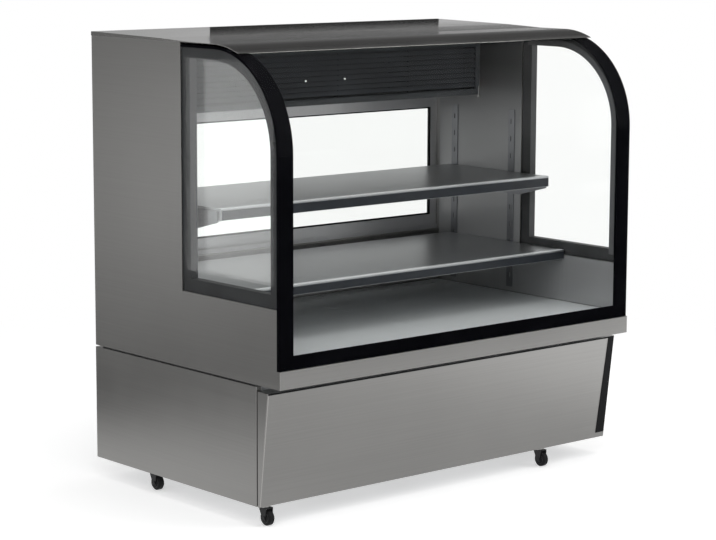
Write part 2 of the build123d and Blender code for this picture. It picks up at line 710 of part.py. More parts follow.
def rocker(x):
    """Rocker cap, tipped to its off side, with pivot pins to both cheeks of its well."""
    half = ROCKER_HEIGHT / 2 - 0.6
    with BuildPart() as cap:
        with BuildSketch(Plane.YZ.offset(-ROCKER_WIDTH / 2)):
            with BuildLine():
                Polyline(
                    (-5, -5),
                    (-5, 5),
                    (3.5, half),
                    (6.5, half),
                    (5, 0),
                    (6.5, -half),
                    (3.5, -half),
                    close=True,
                )
            make_face()
        extrude(amount=ROCKER_WIDTH)
        with BuildSketch(Plane.YZ.offset(-ROCKER_WIDTH / 2 - ROCKER_GAP + 0.1)):
            Circle(1.8)
        extrude(amount=ROCKER_WIDTH + 2 * ROCKER_GAP - 0.2)
    tipped = cap.part.rotate(Axis.X, -ROCKER_TILT)
    with BuildPart() as placed:
        add(tipped.moved(Location((x, Y_PIVOT, HEADER_MID))))
    return placed


for x, name in zip(ROCKER_X, ("light_switch", "power_switch")):
    save(rocker(x), name)

# Base: welded frame, skins and the front cover
POST = 30.0
POST_WALL = 2.5
RING = 20.0
PAN = 2.0
PAN_RIM = 10.0
Y_PAN_FRONT = Y_COVER_END + RUN_GAP
Y_POST_FRONT = Y_COVER_END + 2
FRAME_DEPTH = Y_GRILLE - Y_POST_FRONT
Y_FRAME_MID = (Y_GRILLE + Y_POST_FRONT) / 2
CASTER_X_LEFT = -X_SIDE + CASTER_FROM_LEFT
CASTER_X_RIGHT = X_SIDE - CASTER_FROM_RIGHT
CASTER_Y_FRONT = Y_FRONT + CASTER_FROM_FRONT
CASTER_Y_REAR = Y_REAR - CASTER_FROM_REAR
CASTERS = (
    ("fl", CASTER_X_LEFT, CASTER_Y_FRONT),
    ("fr", CASTER_X_RIGHT, CASTER_Y_FRONT),
    ("rl", CASTER_X_LEFT, CASTER_Y_REAR),
    ("rr", CASTER_X_RIGHT, CASTER_Y_REAR),
)
CASTER_PLATE = 40.0
with BuildPart() as base_frame:
    pan_depth = Y_GRILLE - Y_PAN_FRONT
    with Locations((0, (Y_GRILLE + Y_PAN_FRONT) / 2, BASE_BOTTOM + PAN_RIM / 2)):
        Box(2 * FRAME_X, pan_depth, PAN_RIM)
    with Locations((0, (Y_GRILLE + Y_PAN_FRONT) / 2, BASE_BOTTOM + PAN + PAN_RIM / 2)):
        Box(2 * FRAME_X - 2 * PAN, pan_depth - 2 * PAN, PAN_RIM, mode=Mode.SUBTRACT)
    with BuildSketch(Plane.XY.offset(CABINET_BOTTOM - RING)):
        with Locations((0, Y_FRAME_MID)):
            Rectangle(2 * FRAME_X, FRAME_DEPTH)
            Rectangle(2 * FRAME_X - 2 * POST, FRAME_DEPTH - 2 * POST, mode=Mode.SUBTRACT)
    extrude(amount=RING)
    with BuildSketch(Plane.XY.offset(BASE_BOTTOM + PAN / 2)):
        for sx in (-1, 1):
            for sy in (-1, 1):
                corner_x = sx * FRAME_X
                corner_y = Y_FRAME_MID + sy * FRAME_DEPTH / 2
                with Locations((corner_x - sx * POST / 2, corner_y - sy * POST_WALL / 2)):
                    Rectangle(POST, POST_WALL)
                with Locations((corner_x - sx * POST_WALL / 2, corner_y - sy * POST / 2)):
                    Rectangle(POST_WALL, POST)
    extrude(amount=CABINET_BOTTOM - RING - BASE_BOTTOM)
save(base_frame, "base_frame")


def base_side(side):
    """Side skin of the base, folded inwards on its four edges."""
    depth = Y_REAR - Y_SIDE_PANEL
    height = BASE_TOP - BASE_BOTTOM
    with BuildPart() as skin:
        centre_x = side * (X_SIDE - FLANGE / 2)
        with Locations((centre_x, (Y_REAR + Y_SIDE_PANEL) / 2, BASE_BOTTOM + height / 2)):
            Box(FLANGE, depth, height)
        outer = skin.faces().sort_by(Axis.X)[-1 if side > 0 else 0]
        fillet(outer.edges().filter_by(Axis.Z), radius=FOLD_RADIUS)
        inner = skin.faces().sort_by(Axis.X)[0 if side > 0 else -1]
        offset(amount=-SHEET, openings=inner)
    return skin


for side, side_name in ((-1, "left"), (1, "right")):
    save(base_side(side), f"base_side_{side_name}")

with BuildPart() as base_front_cover:
    with BuildSketch(Plane.YZ.offset(-X_SIDE)):
        with BuildLine():
            Polyline(
                (Y_COVER_END, BASE_BOTTOM),
                (Y_COVER_END, COVER_TOP),
                (Y_FRONT + COVER_FRONT_TOP, COVER_TOP),
                (Y_FRONT + COVER_FRONT_BOTTOM, BASE_BOTTOM),
                close=True,
            )
        make_face()
    extrude(amount=CASE_WIDTH)
    cover_front = base_front_cover.faces().sort_by(Axis.Y)[0]
    front_verticals = cover_front.edges().sort_by(Axis.X)
    fillet([front_verticals[0], front_verticals[-1]], radius=3)
    offset(amount=-SHEET, openings=base_front_cover.faces().sort_by(Axis.Y)[-1])
save(base_front_cover, "base_front_cover")

GRILLE_BOTTOM = BASE_BOTTOM + PAN_RIM + 2
GRILLE_TOP = CABINET_BOTTOM - 2
GRILLE_X = FRAME_X - RUN_GAP
LOUVRE_LENGTH = 210.0
LOUVRE_ROWS = 10
LOUVRE_COLUMNS = 4
REAR_LOUVRE_PITCH = 20.0
with BuildPart() as base_rear_grille:
    grille_z = (GRILLE_BOTTOM + GRILLE_TOP) / 2
    with Locations((0, Y_GRILLE + SHEET / 2, grille_z)):
        Box(2 * GRILLE_X, SHEET, GRILLE_TOP - GRILLE_BOTTOM)
    with Locations((0, Y_GRILLE + SHEET / 2, grille_z)):
        with Locations(*[(x, 0, z) for x in spread(LOUVRE_COLUMNS, LOUVRE_LENGTH + 50)
                         for z in spread(LOUVRE_ROWS, REAR_LOUVRE_PITCH)]):
            Box(LOUVRE_LENGTH, SHEET, 7, mode=Mode.SUBTRACT)
    with BuildPart(mode=Mode.PRIVATE) as hoodlet:
        with BuildSketch(Plane.YZ.offset(-LOUVRE_LENGTH / 2)):
            with BuildLine():
                Polyline((0, 6.5), (7, -3), (7, -4.5), (5.5, -4.5), (0, 3.5), close=True)
            make_face()
        extrude(amount=LOUVRE_LENGTH)
    for x in spread(LOUVRE_COLUMNS, LOUVRE_LENGTH + 50):
        for z in spread(LOUVRE_ROWS, REAR_LOUVRE_PITCH):
            add(hoodlet.part.moved(Location((x, Y_GRILLE + SHEET, grille_z + z))))
save(base_rear_grille, "base_rear_grille")

# Condensing unit in the base
FLOOR_Z = BASE_BOTTOM + PAN
UNIT_Y = Y_REAR - 340.0
COND_X = -X_SIDE + 375.0
COMP_X = COND_X + 310.0
FOOT = 14.0
FOOT_PLATE = 4.0
DOME_SIDE = 40.0
SEAM = 6.0
with BuildPart() as compressor:
    foot_top = FLOOR_Z + FOOT
    with BuildSketch(Plane.XZ.offset(-UNIT_Y)):
        with BuildLine():
            shell_r = COMPRESSOR_RADIUS
            shell_z = foot_top + FOOT_PLATE
            seam_z = shell_z + COMPRESSOR_HEIGHT * 0.55
            top_z = shell_z + COMPRESSOR_HEIGHT
            Polyline(
                (COMP_X, top_z),
                (COMP_X, shell_z),
                (COMP_X + shell_r, shell_z),
                (COMP_X + shell_r, seam_z),
                (COMP_X + shell_r + 4, seam_z),
                (COMP_X + shell_r + 4, seam_z + SEAM),
                (COMP_X + shell_r, seam_z + SEAM),
                (COMP_X + shell_r, top_z - DOME_SIDE),
                (COMP_X + shell_r - 0.4 * DOME_SIDE, top_z - 0.4 * DOME_SIDE),
                (COMP_X + shell_r - DOME_SIDE, top_z),
                close=True,
            )
        make_face()
    revolve(axis=Axis((COMP_X, UNIT_Y, 0), (0, 0, 1)))
    with Locations((COMP_X, UNIT_Y, foot_top + FOOT_PLATE / 2)):
        Box(190, 130, FOOT_PLATE)
    with Locations((COMP_X + COMPRESSOR_RADIUS + 10, UNIT_Y, foot_top + 55)):
        Box(40, 60, 60)
    with Locations((COMP_X, UNIT_Y, FLOOR_Z)):
        with GridLocations(160, 100, 2, 2):
            Box(22, 22, FOOT, align=(Align.CENTER, Align.CENTER, Align.MIN))
save(compressor, "compressor")

COND_WIDTH = 280.0
COND_HEIGHT = 240.0
COND_DEPTH = 66.0
COND_Y = Y_REAR - 100.0
SHROUD_DEPTH = 40.0
COIL_COLUMNS = 6
COND_FINS = 24
with BuildPart() as condenser_coil:
    fins = finned_block(COND_WIDTH, COND_DEPTH, COND_HEIGHT, COND_FINS)
    add(fins.part.moved(Location((COND_X, COND_Y, FLOOR_Z))))
    span = COND_HEIGHT / COIL_COLUMNS
    for end, first in ((-1, 0), (1, 1)):
        for column in range(first, COIL_COLUMNS - 1, 2):
            for y in (COND_Y - COND_DEPTH / 4, COND_Y + COND_DEPTH / 4):
                x = COND_X + end * COND_WIDTH / 2
                add(return_bend(x, y, FLOOR_Z + (column + 0.5) * span, end, span).part)
save(condenser_coil, "condenser_coil")

Y_SHROUD = COND_Y - COND_DEPTH / 2 - SHROUD_DEPTH / 2
COND_FAN_Z = FLOOR_Z + COND_HEIGHT / 2
FAN_TIP_GAP = 5.0
with BuildPart() as condenser_shroud:
    with Locations((COND_X, Y_SHROUD, COND_FAN_Z)):
        Box(COND_WIDTH, SHROUD_DEPTH, COND_HEIGHT)
    chamfer(condenser_shroud.edges().filter_by(Axis.Y), length=10)
    offset(amount=-SHEET, openings=condenser_shroud.faces().sort_by(Axis.Y)[-1])
    with BuildSketch(Plane.XZ.offset(-(Y_SHROUD - SHROUD_DEPTH / 2 - 1))):
        with Locations((COND_X, COND_FAN_Z)):
            Circle(COND_FAN_RADIUS + FAN_TIP_GAP)
    extrude(amount=-6, mode=Mode.SUBTRACT)
    with BuildSketch(Plane.XZ.offset(-(Y_SHROUD - SHROUD_DEPTH / 2))):
        with Locations((COND_X, COND_FAN_Z)):
            Circle(COND_FAN_RADIUS + FAN_TIP_GAP + SHEET)
            Circle(COND_FAN_RADIUS + FAN_TIP_GAP, mode=Mode.SUBTRACT)
    extrude(amount=12)
save(condenser_shroud, "condenser_shroud")

COND_HUB = 26.0
COND_FAN_DEPTH = 28.0
Y_COND_FAN = Y_SHROUD - SHROUD_DEPTH / 2
with BuildPart() as condenser_fan:
    add(fan_rotor(COND_FAN_RADIUS, COND_HUB, COND_FAN_DEPTH, 4).part.moved(
        Location((COND_X, Y_COND_FAN, COND_FAN_Z))))
save(condenser_fan, "condenser_fan")

with BuildPart() as condenser_fan_motor:
    motor_front = Y_COND_FAN - COND_FAN_DEPTH / 2 - MOTOR_GAP
    with BuildSketch(Plane.XZ.offset(-motor_front)):
        with Locations((COND_X, COND_FAN_Z)):
            Circle(34)
    extrude(amount=52)
    chamfer(condenser_fan_motor.edges().filter_by(GeomType.CIRCLE).sort_by(Axis.Y)[0], length=6)
    with Locations((COND_X, motor_front - 34, (FLOOR_Z + COND_FAN_Z) / 2)):
        Box(50, 4, COND_FAN_Z - FLOOR_Z)
    with Locations((COND_X, motor_front - 44, FLOOR_Z + 1.5)):
        Box(50, 24, 3)
save(condenser_fan_motor, "condenser_fan_motor")

DRIER_X = COND_X + 400.0
DRIER_Y = Y_REAR - 180.0
DRIER_Z = FLOOR_Z + 54.0
DRIER_LENGTH = 120.0
DRIER_RADIUS = 16.0
with BuildPart() as filter_drier:
    neck = PIPE_RADIUS + 2
    with BuildSketch(Plane.XZ):
        with BuildLine():
            Polyline(
                (0, 0),
                (neck, 0),
                (DRIER_RADIUS, 20),
                (DRIER_RADIUS, DRIER_LENGTH - 20),
                (neck, DRIER_LENGTH),
                (0, DRIER_LENGTH),
                close=True,
            )
        make_face()
    revolve(axis=Axis.Z)
filter_drier.part = filter_drier.part.moved(Location((DRIER_X, DRIER_Y, DRIER_Z)))
save(filter_drier, "filter_drier")


def pipe(points):
    """Copper pipe through corner points, with a round bend at each corner."""
    corners = [Vector(*point) for point in points]
    ways = [(b - a).normalized() for a, b in zip(corners, corners[1:])]
    starts = [corners[0]] + [c + way * PIPE_BEND for c, way in zip(corners[1:], ways[1:])]
    ends = [c - way * PIPE_BEND for c, way in zip(corners[1:], ways[:-1])] + [corners[-1]]
    with BuildPart() as tube:
        turns = [way.cross(next_way) for way, next_way in zip(ways, ways[1:])]
        across = turns or [Plane(origin=corners[0], z_dir=ways[0]).x_dir]
        for start, end, way, sideways in zip(starts, ends, ways, across + across[-1:]):
            with BuildSketch(Plane(origin=start, x_dir=sideways, z_dir=way)):
                RegularPolygon(PIPE_RADIUS, 8)
            extrude(amount=(end - start).length)
        for end, way, next_way in zip(ends, ways, ways[1:]):
            with BuildSketch(Plane(origin=end, x_dir=way.cross(next_way), z_dir=way)):
                RegularPolygon(PIPE_RADIUS, 8)
            revolve(axis=Axis(end + next_way * PIPE_BEND, way.cross(next_way)), revolution_arc=90)
    return tube


SHELL_TOP = FLOOR_Z + FOOT + FOOT_PLATE + COMPRESSOR_HEIGHT
COIL_END = COND_X + COND_WIDTH / 2
COIL_TOP = FLOOR_Z + COND_HEIGHT * (1 - 0.5 / COIL_COLUMNS)
COIL_LOW = FLOOR_Z + COND_HEIGHT * 0.5 / COIL_COLUMNS
ROW_FAR = COND_Y + COND_DEPTH / 4
ROW_NEAR = COND_Y - COND_DEPTH / 4
LOOP_Z = COIL_TOP + 34
PORT = 15.0
RISER_X = DRIER_X - 42
with BuildPart() as refrigerant_pipes:
    discharge_x = COMP_X + PORT
    suction_x = COMP_X - PORT
    add(pipe([(COIL_END, ROW_FAR, COIL_TOP), (COIL_END + 25, ROW_FAR, COIL_TOP),
              (COIL_END + 25, ROW_FAR, LOOP_Z), (discharge_x, ROW_FAR, LOOP_Z),
              (discharge_x, UNIT_Y, LOOP_Z), (discharge_x, UNIT_Y, SHELL_TOP)]).part)
    add(pipe([(COIL_END, ROW_FAR, COIL_LOW), (COIL_END + 18, ROW_FAR, COIL_LOW),
              (COIL_END + 18, ROW_NEAR, COIL_LOW), (COIL_END, ROW_NEAR, COIL_LOW)]).part)
    add(pipe([(COIL_END, ROW_NEAR, COIL_TOP), (DRIER_X, ROW_NEAR, COIL_TOP),
              (DRIER_X, DRIER_Y, COIL_TOP), (DRIER_X, DRIER_Y, DRIER_Z + DRIER_LENGTH)]).part)
    add(pipe([(DRIER_X, DRIER_Y, DRIER_Z), (DRIER_X, DRIER_Y, DRIER_Z - 26),
              (RISER_X, DRIER_Y, DRIER_Z - 26), (RISER_X, DRIER_Y, CABINET_BOTTOM)]).part)
    add(pipe([(suction_x, UNIT_Y, SHELL_TOP), (suction_x, UNIT_Y, CABINET_BOTTOM)]).part)
    for y in LINE_Y:
        add(pipe([(HOOD_X1 - COIL_GAP, y, LINE_Z), (X_IN, y, LINE_Z)]).part)
save(refrigerant_pipes, "refrigerant_pipes")

TRAY_WALL = 2.0
TRAY_HEIGHT = 50.0
TUBE_END = FLOOR_Z + TRAY_HEIGHT - 15
with BuildPart() as condensate_tray:
    with Locations((DRAIN_X, DRAIN_Y, FLOOR_Z + TRAY_HEIGHT / 2)):
        Box(300, 180, TRAY_HEIGHT)
    chamfer(condensate_tray.edges().filter_by(Axis.Z), length=10)
    offset(amount=-TRAY_WALL, openings=condensate_tray.faces().sort_by(Axis.Z)[-1])
    with BuildSketch(Plane.XY.offset(TUBE_END)):
        with Locations((DRAIN_X, DRAIN_Y)):
            Circle(DRAIN_RADIUS + TRAY_WALL)
            Circle(DRAIN_RADIUS, mode=Mode.SUBTRACT)
    extrude(amount=CABINET_BOTTOM - TUBE_END)
save(condensate_tray, "condensate_tray")

BOX_X = X_SIDE - 195.0
BOX_Y = Y_REAR - 460.0
with BuildPart() as electrical_box:
    with Locations((BOX_X, BOX_Y, FLOOR_Z + 60)):
        Box(160, 90, 120)
    chamfer(electrical_box.edges().filter_by(Axis.Z), length=4)
    with Locations((BOX_X, BOX_Y, FLOOR_Z + 88)):
        Box(162, 92, 1.5, mode=Mode.SUBTRACT)
        Box(156, 86, 1.5)
save(electrical_box, "electrical_box")

GLAND_X = X_SIDE - 105.0
GLAND_Z = BASE_BOTTOM + 36.0
with BuildPart() as cable_gland:
    with BuildSketch(Plane.XZ.offset(-(Y_GRILLE + SHEET))):
        with Locations((GLAND_X, GLAND_Z)):
            RegularPolygon(11, 6)
    extrude(amount=-7)
    with BuildSketch(Plane.XZ.offset(-(Y_GRILLE + SHEET + 7))):
        with Locations((GLAND_X, GLAND_Z)):
            Circle(8)
    extrude(amount=-5)
save(cable_gland, "cable_gland")

# Casters
PLATE_THICK = 2.5
RACE_HEIGHT = 5.0
FORK_GAUGE = 2.2
FORK_CROWN = BASE_BOTTOM - PLATE_THICK - RACE_HEIGHT
FORK_INNER = WHEEL_WIDTH + 2 * 0.6
RACE_RADIUS = 16.0
TREAD_BEVEL = 3.0
with BuildPart() as caster_plates:
    for name, x, y in CASTERS:
        with BuildSketch(Plane.XY.offset(BASE_BOTTOM - PLATE_THICK)):
            with Locations((x, y)):
                plate = Rectangle(CASTER_PLATE, CASTER_PLATE)
                chamfer(plate.vertices(), length=4)
        extrude(amount=PLATE_THICK)
        with Locations((x, y, BASE_BOTTOM - PLATE_THICK)):
            Cylinder(RACE_RADIUS, RACE_HEIGHT - RUN_GAP, align=(Align.CENTER, Align.CENTER, Align.MAX))
save(caster_plates, "caster_plates")


def caster_fork(x, y):
    """Fork with two cheeks trailing forward of the swivel, and its axle."""
    wheel_y = y - CASTER_TRAIL
    outer_x = FORK_INNER / 2 + FORK_GAUGE
    with BuildPart() as fork:
        with BuildSketch(Plane.XY.offset(FORK_CROWN - FORK_GAUGE)):
            with Locations((x, y - CASTER_TRAIL / 2 + 2)):
                Rectangle(2 * outer_x, 2 * RACE_RADIUS)
        extrude(amount=FORK_GAUGE)
        for side in (-1, 1):
            inner = x + side * FORK_INNER / 2
            with BuildSketch(Plane.YZ.offset(inner if side > 0 else inner - FORK_GAUGE)):
                with BuildLine():
                    Polyline(
                        (y + 8, FORK_CROWN),
                        (y - CASTER_TRAIL - 8, FORK_CROWN),
                        (wheel_y - 6, WHEEL_RADIUS - 6),
                        (wheel_y + 6, WHEEL_RADIUS - 6),
                        close=True,
                    )
                make_face()
            extrude(amount=FORK_GAUGE)
        with BuildSketch(Plane.YZ.offset(x - outer_x - 1.5)):
            with Locations((wheel_y, WHEEL_RADIUS)):
                Circle(AXLE_RADIUS)
        extrude(amount=2 * outer_x + 3)
    return fork


def caster_wheel(x, y):
    """Wheel with a bevelled tread and a bore for the axle."""
    with BuildPart() as wheel:
        half = WHEEL_WIDTH / 2
        with BuildSketch(Plane.XY):
            with BuildLine():
                Polyline(
                    (-half, AXLE_RADIUS + AXLE_GAP),
                    (-half, WHEEL_RADIUS - TREAD_BEVEL),
                    (-half + TREAD_BEVEL, WHEEL_RADIUS),
                    (half - TREAD_BEVEL, WHEEL_RADIUS),
                    (half, WHEEL_RADIUS - TREAD_BEVEL),
                    (half, AXLE_RADIUS + AXLE_GAP),
                    close=True,
                )
            make_face()
        revolve(axis=Axis.X)
    with BuildPart() as placed:
        add(wheel.part.moved(Location((x, y - CASTER_TRAIL, WHEEL_RADIUS))))
    return placed


for name, x, y in CASTERS:
    save(caster_fork(x, y), f"caster_fork_{name}")
    save(caster_wheel(x, y), f"caster_wheel_{name}")

# Screws of the rear grille and the control panel
SCREW_HEAD = 3.6
with BuildPart() as panel_screws:
    screw_z = (GRILLE_BOTTOM + 12, GRILLE_TOP - 12)
    for x in (-GRILLE_X + 15, -GRILLE_X / 3, GRILLE_X / 3, GRILLE_X - 15):
        for z in screw_z:
            with BuildSketch(Plane.XZ.offset(-(Y_GRILLE + SHEET))):
                with Locations((x, z)):
                    RegularPolygon(SCREW_HEAD, 6)
            extrude(amount=-2)
save(panel_screws, "panel_screws")
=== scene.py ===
"""Refrigerated pastry display case: finishes, trim and a pale studio. Metres, Z up."""
import math

import bmesh
import bpy
from mathutils import Matrix, Vector


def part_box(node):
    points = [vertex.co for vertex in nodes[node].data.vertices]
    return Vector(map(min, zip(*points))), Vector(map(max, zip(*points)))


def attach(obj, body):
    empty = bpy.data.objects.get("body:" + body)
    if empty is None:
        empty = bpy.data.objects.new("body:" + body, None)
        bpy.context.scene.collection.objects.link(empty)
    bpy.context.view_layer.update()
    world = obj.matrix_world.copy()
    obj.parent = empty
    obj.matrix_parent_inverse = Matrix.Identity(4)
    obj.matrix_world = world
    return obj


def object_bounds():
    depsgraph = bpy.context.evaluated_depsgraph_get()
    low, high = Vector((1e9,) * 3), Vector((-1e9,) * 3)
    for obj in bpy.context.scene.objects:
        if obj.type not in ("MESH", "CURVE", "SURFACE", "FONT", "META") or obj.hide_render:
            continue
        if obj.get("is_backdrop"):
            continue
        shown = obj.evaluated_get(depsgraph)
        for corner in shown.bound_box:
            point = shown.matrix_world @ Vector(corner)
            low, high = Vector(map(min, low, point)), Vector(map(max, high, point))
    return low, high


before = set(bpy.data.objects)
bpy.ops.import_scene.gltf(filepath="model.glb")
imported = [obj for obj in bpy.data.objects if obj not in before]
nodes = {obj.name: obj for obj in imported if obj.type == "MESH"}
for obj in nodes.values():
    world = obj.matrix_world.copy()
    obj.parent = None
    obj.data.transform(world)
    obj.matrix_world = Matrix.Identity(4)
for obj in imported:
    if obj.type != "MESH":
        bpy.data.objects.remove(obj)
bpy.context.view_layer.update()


# Patterns shared by the finishes

MIDDLE_OF_NOISE = (0.3, 0.7)
SHARE = (0.0, 1.0)


def connect(tree, value, socket):
    """Links a socket to another one, or sets it to a number or a colour."""
    if isinstance(value, bpy.types.NodeSocket):
        tree.links.new(value, socket)
    else:
        socket.default_value = value


def wired(tree, kind, inputs=None, **settings):
    """Shader node with its settings made and its inputs connected."""
    node = tree.nodes.new(f"ShaderNode{kind}")
    for setting, value in settings.items():
        setattr(node, setting, value)
    for name, value in (inputs or {}).items():
        connect(tree, value, node.inputs[name])
    return node


def new_finish(name, metallic=0.0):
    """Empty finish with its shader, ready for a pattern."""
    finish = bpy.data.materials.new(name)
    finish.use_nodes = True
    tree = finish.node_tree
    shader = tree.nodes["Principled BSDF"]
    shader.inputs["Metallic"].default_value = metallic
    return finish, tree, shader


def bare_finish(name):
    """Finish with no shader, for glass, the floor and the boards."""
    finish, tree, shader = new_finish(name)
    tree.nodes.remove(shader)
    return finish, tree, tree.nodes["Material Output"].inputs["Surface"]


def joined(tree, first, second, how="MULTIPLY"):
    """Two numbers put together."""
    return wired(tree, "Math", {0: first, 1: second}, operation=how).outputs["Value"]


def moved(tree, value, source, target, how="LINEAR"):
    """A number taken from one range to another."""
    limits = {"From Min": source[0], "From Max": source[1], "To Min": target[0], "To Max": target[1]}
    return wired(tree, "MapRange", {"Value": value, **limits}, interpolation_type=how).outputs["Result"]


def grain(tree, per_metre, detail=2.0):
    """Noise whose marks are one over per_metre long in X, Y and Z."""
    place = wired(tree, "TexCoord")
    stretch = wired(tree, "Mapping", {"Vector": place.outputs["Object"], "Scale": per_metre})
    noise = wired(tree, "TexNoise", {"Vector": stretch.outputs["Vector"], "Scale": 1.0, "Detail": detail})
    return noise.outputs["Fac"]


def between(tree, share, low, high):
    """The middle of a noise spread over a range of numbers."""
    return moved(tree, share, MIDDLE_OF_NOISE, (low, high))


def tones(tree, share, dark, light):
    """The middle of a noise spread between two colours."""
    ramp = wired(tree, "ValToRGB", {"Fac": share})
    for element, position, colour in zip(ramp.color_ramp.elements, MIDDLE_OF_NOISE, (dark, light)):
        element.position = position
        element.color = (*colour, 1)
    return ramp.outputs["Color"]


def relief(tree, shader, height, depth, strength):
    """Fine unevenness of a surface."""
    bump = wired(tree, "Bump", {"Strength": strength, "Distance": depth, "Height": height})
    tree.links.new(bump.outputs["Normal"], shader.inputs["Normal"])


def shade(colour, factor):
    """A colour made darker or lighter."""
    return tuple(c * factor for c in colour)


# Coarse and fine grinding marks per metre, long along one direction
STROKES = {
    "across": ((1.2, 330, 330), (5, 1700, 1700)),
    "deep": ((330, 1.2, 330), (1700, 5, 1700)),
    "up": ((330, 330, 1.2), (1700, 1700, 5)),
}
GRINDING_DEPTH = 0.0002
SHEEN_CHANGE = 0.05


def brushed_steel(name, colour, strokes, roughness, metallic=1.0):
    """Sheet steel ground in one direction, with faint clouds from wiping."""
    finish, tree, shader = new_finish(name, metallic)
    coarse, fine = (grain(tree, per_metre) for per_metre in STROKES[strokes])
    clouds = grain(tree, (4, 4, 4), 3.0)
    total = joined(tree, joined(tree, coarse, fine, "ADD"), clouds, "ADD")
    mixed = joined(tree, total, 3.0, "DIVIDE")
    colours = tones(tree, mixed, shade(colour, 0.92), shade(colour, 1.08))
    sheen = between(tree, mixed, roughness - SHEEN_CHANGE, roughness + SHEEN_CHANGE)
    connect(tree, colours, shader.inputs["Base Color"])
    connect(tree, sheen, shader.inputs["Roughness"])
    relief(tree, shader, fine, GRINDING_DEPTH, 0.07)
    return finish


def painted_shade_upwards(finish, low, high, least):
    """Paints shade onto a finish, darker upwards between two heights: painted shade as under the hood."""
    tree = finish.node_tree
    base = tree.nodes["Principled BSDF"].inputs["Base Color"]
    place = wired(tree, "TexCoord")
    height = wired(tree, "SeparateXYZ", {"Vector": place.outputs["Object"]}).outputs["Z"]
    shade_factor = moved(tree, height, (low, high), (1.0, least))
    shaded_colour = wired(tree, "VectorMath", {"Vector": base.links[0].from_socket, "Scale": shade_factor}, operation="SCALE")
    tree.links.new(shaded_colour.outputs["Vector"], base)


def even_grain(name, colour, roughness, per_metre, depth, metallic=0.0, gloss=0.5):
    """Plated, painted, moulded or rolled finish with an even grain and faint clouds."""
    finish, tree, shader = new_finish(name, metallic)
    shader.inputs["Specular IOR Level"].default_value = gloss
    skin = grain(tree, (per_metre,) * 3, 3.0)
    clouds = grain(tree, (9, 9, 9), 3.0)
    connect(tree, tones(tree, clouds, shade(colour, 0.82), shade(colour, 1.16)), shader.inputs["Base Color"])
    connect(tree, between(tree, skin, roughness * 0.85, roughness * 1.15), shader.inputs["Roughness"])
    relief(tree, shader, skin, depth, 0.25)
    return finish


def lit_lens(name, colour, glow, light=(1.0, 0.97, 0.92)):
    """Plastic lit from behind."""
    finish = even_grain(name, colour, 0.35, 400, 0.0001)
    shader = finish.node_tree.nodes["Principled BSDF"]
    shader.inputs["Emission Color"].default_value = (*light, 1)
    shader.inputs["Emission Strength"].default_value = glow
    return finish


def clear_pane(name, tint, face_on, grazing):
    """Glass that lets light straight through and shines more towards its edges."""
    finish, tree, surface = bare_finish(name)
    through = wired(tree, "BsdfTransparent", {"Color": (*tint, 1)})
    smears = grain(tree, (7, 7, 12), 4.0)
    shine = wired(tree, "BsdfGlossy", {"Color": (1, 1, 1, 1), "Roughness": between(tree, smears, 0.0, 0.05)})
    slant = wired(tree, "LayerWeight", {"Blend": 0.5}).outputs["Facing"]
    amount = moved(tree, joined(tree, slant, 5.0, "POWER"), SHARE, (face_on, grazing))
    pane = wired(tree, "MixShader", {"Fac": amount, 1: through.outputs["BSDF"], 2: shine.outputs["BSDF"]})
    tree.links.new(pane.outputs["Shader"], surface)
    return finish


FIN_PITCH = 0.0032
ONE_WAVE_PER_METRE = 0.314


def finned_metal(name, colour):
    """Stacked aluminium fins, pressed edges up, a pitch apart along X, with painted shade between the fins and
    faint dust.
    """
    finish, tree, shader = new_finish(name, 0.9)
    place = wired(tree, "TexCoord")
    edges = wired(tree, "TexWave", {
        "Vector": place.outputs["Object"], "Scale": ONE_WAVE_PER_METRE / FIN_PITCH, "Distortion": 0.4,
        "Detail Scale": 3.0}, bands_direction="X").outputs["Fac"]
    dust = grain(tree, (40, 40, 14), 3.0)
    gap_shade_and_dust = joined(tree, edges, dust, "ADD")
    connect(tree, tones(tree, gap_shade_and_dust, shade(colour, 0.35), colour), shader.inputs["Base Color"])
    connect(tree, between(tree, dust, 0.38, 0.6), shader.inputs["Roughness"])
    relief(tree, shader, edges, 0.001, 0.8)
    return finish


# Steel, aluminium and plated metal
STEEL = (0.32, 0.316, 0.308)
side_steel = brushed_steel("side steel, ground front to back", STEEL, "deep", 0.34)
front_steel = brushed_steel("front steel, ground across", STEEL, "across", 0.32)
inner_steel = brushed_steel("inner steel, ground across", (0.52, 0.53, 0.54), "across", 0.34)
deck_steel = brushed_steel("deck steel, ground across", (0.82, 0.845, 0.86), "across", 0.34, 0.30)
liner_steel_painted_shade = brushed_steel("inner side steel, ground up", (0.44, 0.443, 0.452), "up", 0.36, 0.5)
# Painted shade: the liners' colour darkens upwards under the hood
painted_shade_upwards(liner_steel_painted_shade, 0.78, 1.10, 0.30)
strip_steel = brushed_steel("slotted strip steel", (0.26, 0.265, 0.28), "up", 0.34, 0.9)
# Painted highlight along the front top of the shelves
shelf_highlight_steel = brushed_steel("steel with a painted highlight on the shelf fronts", (0.93, 0.95, 0.97), "across", 0.24, 0.25)
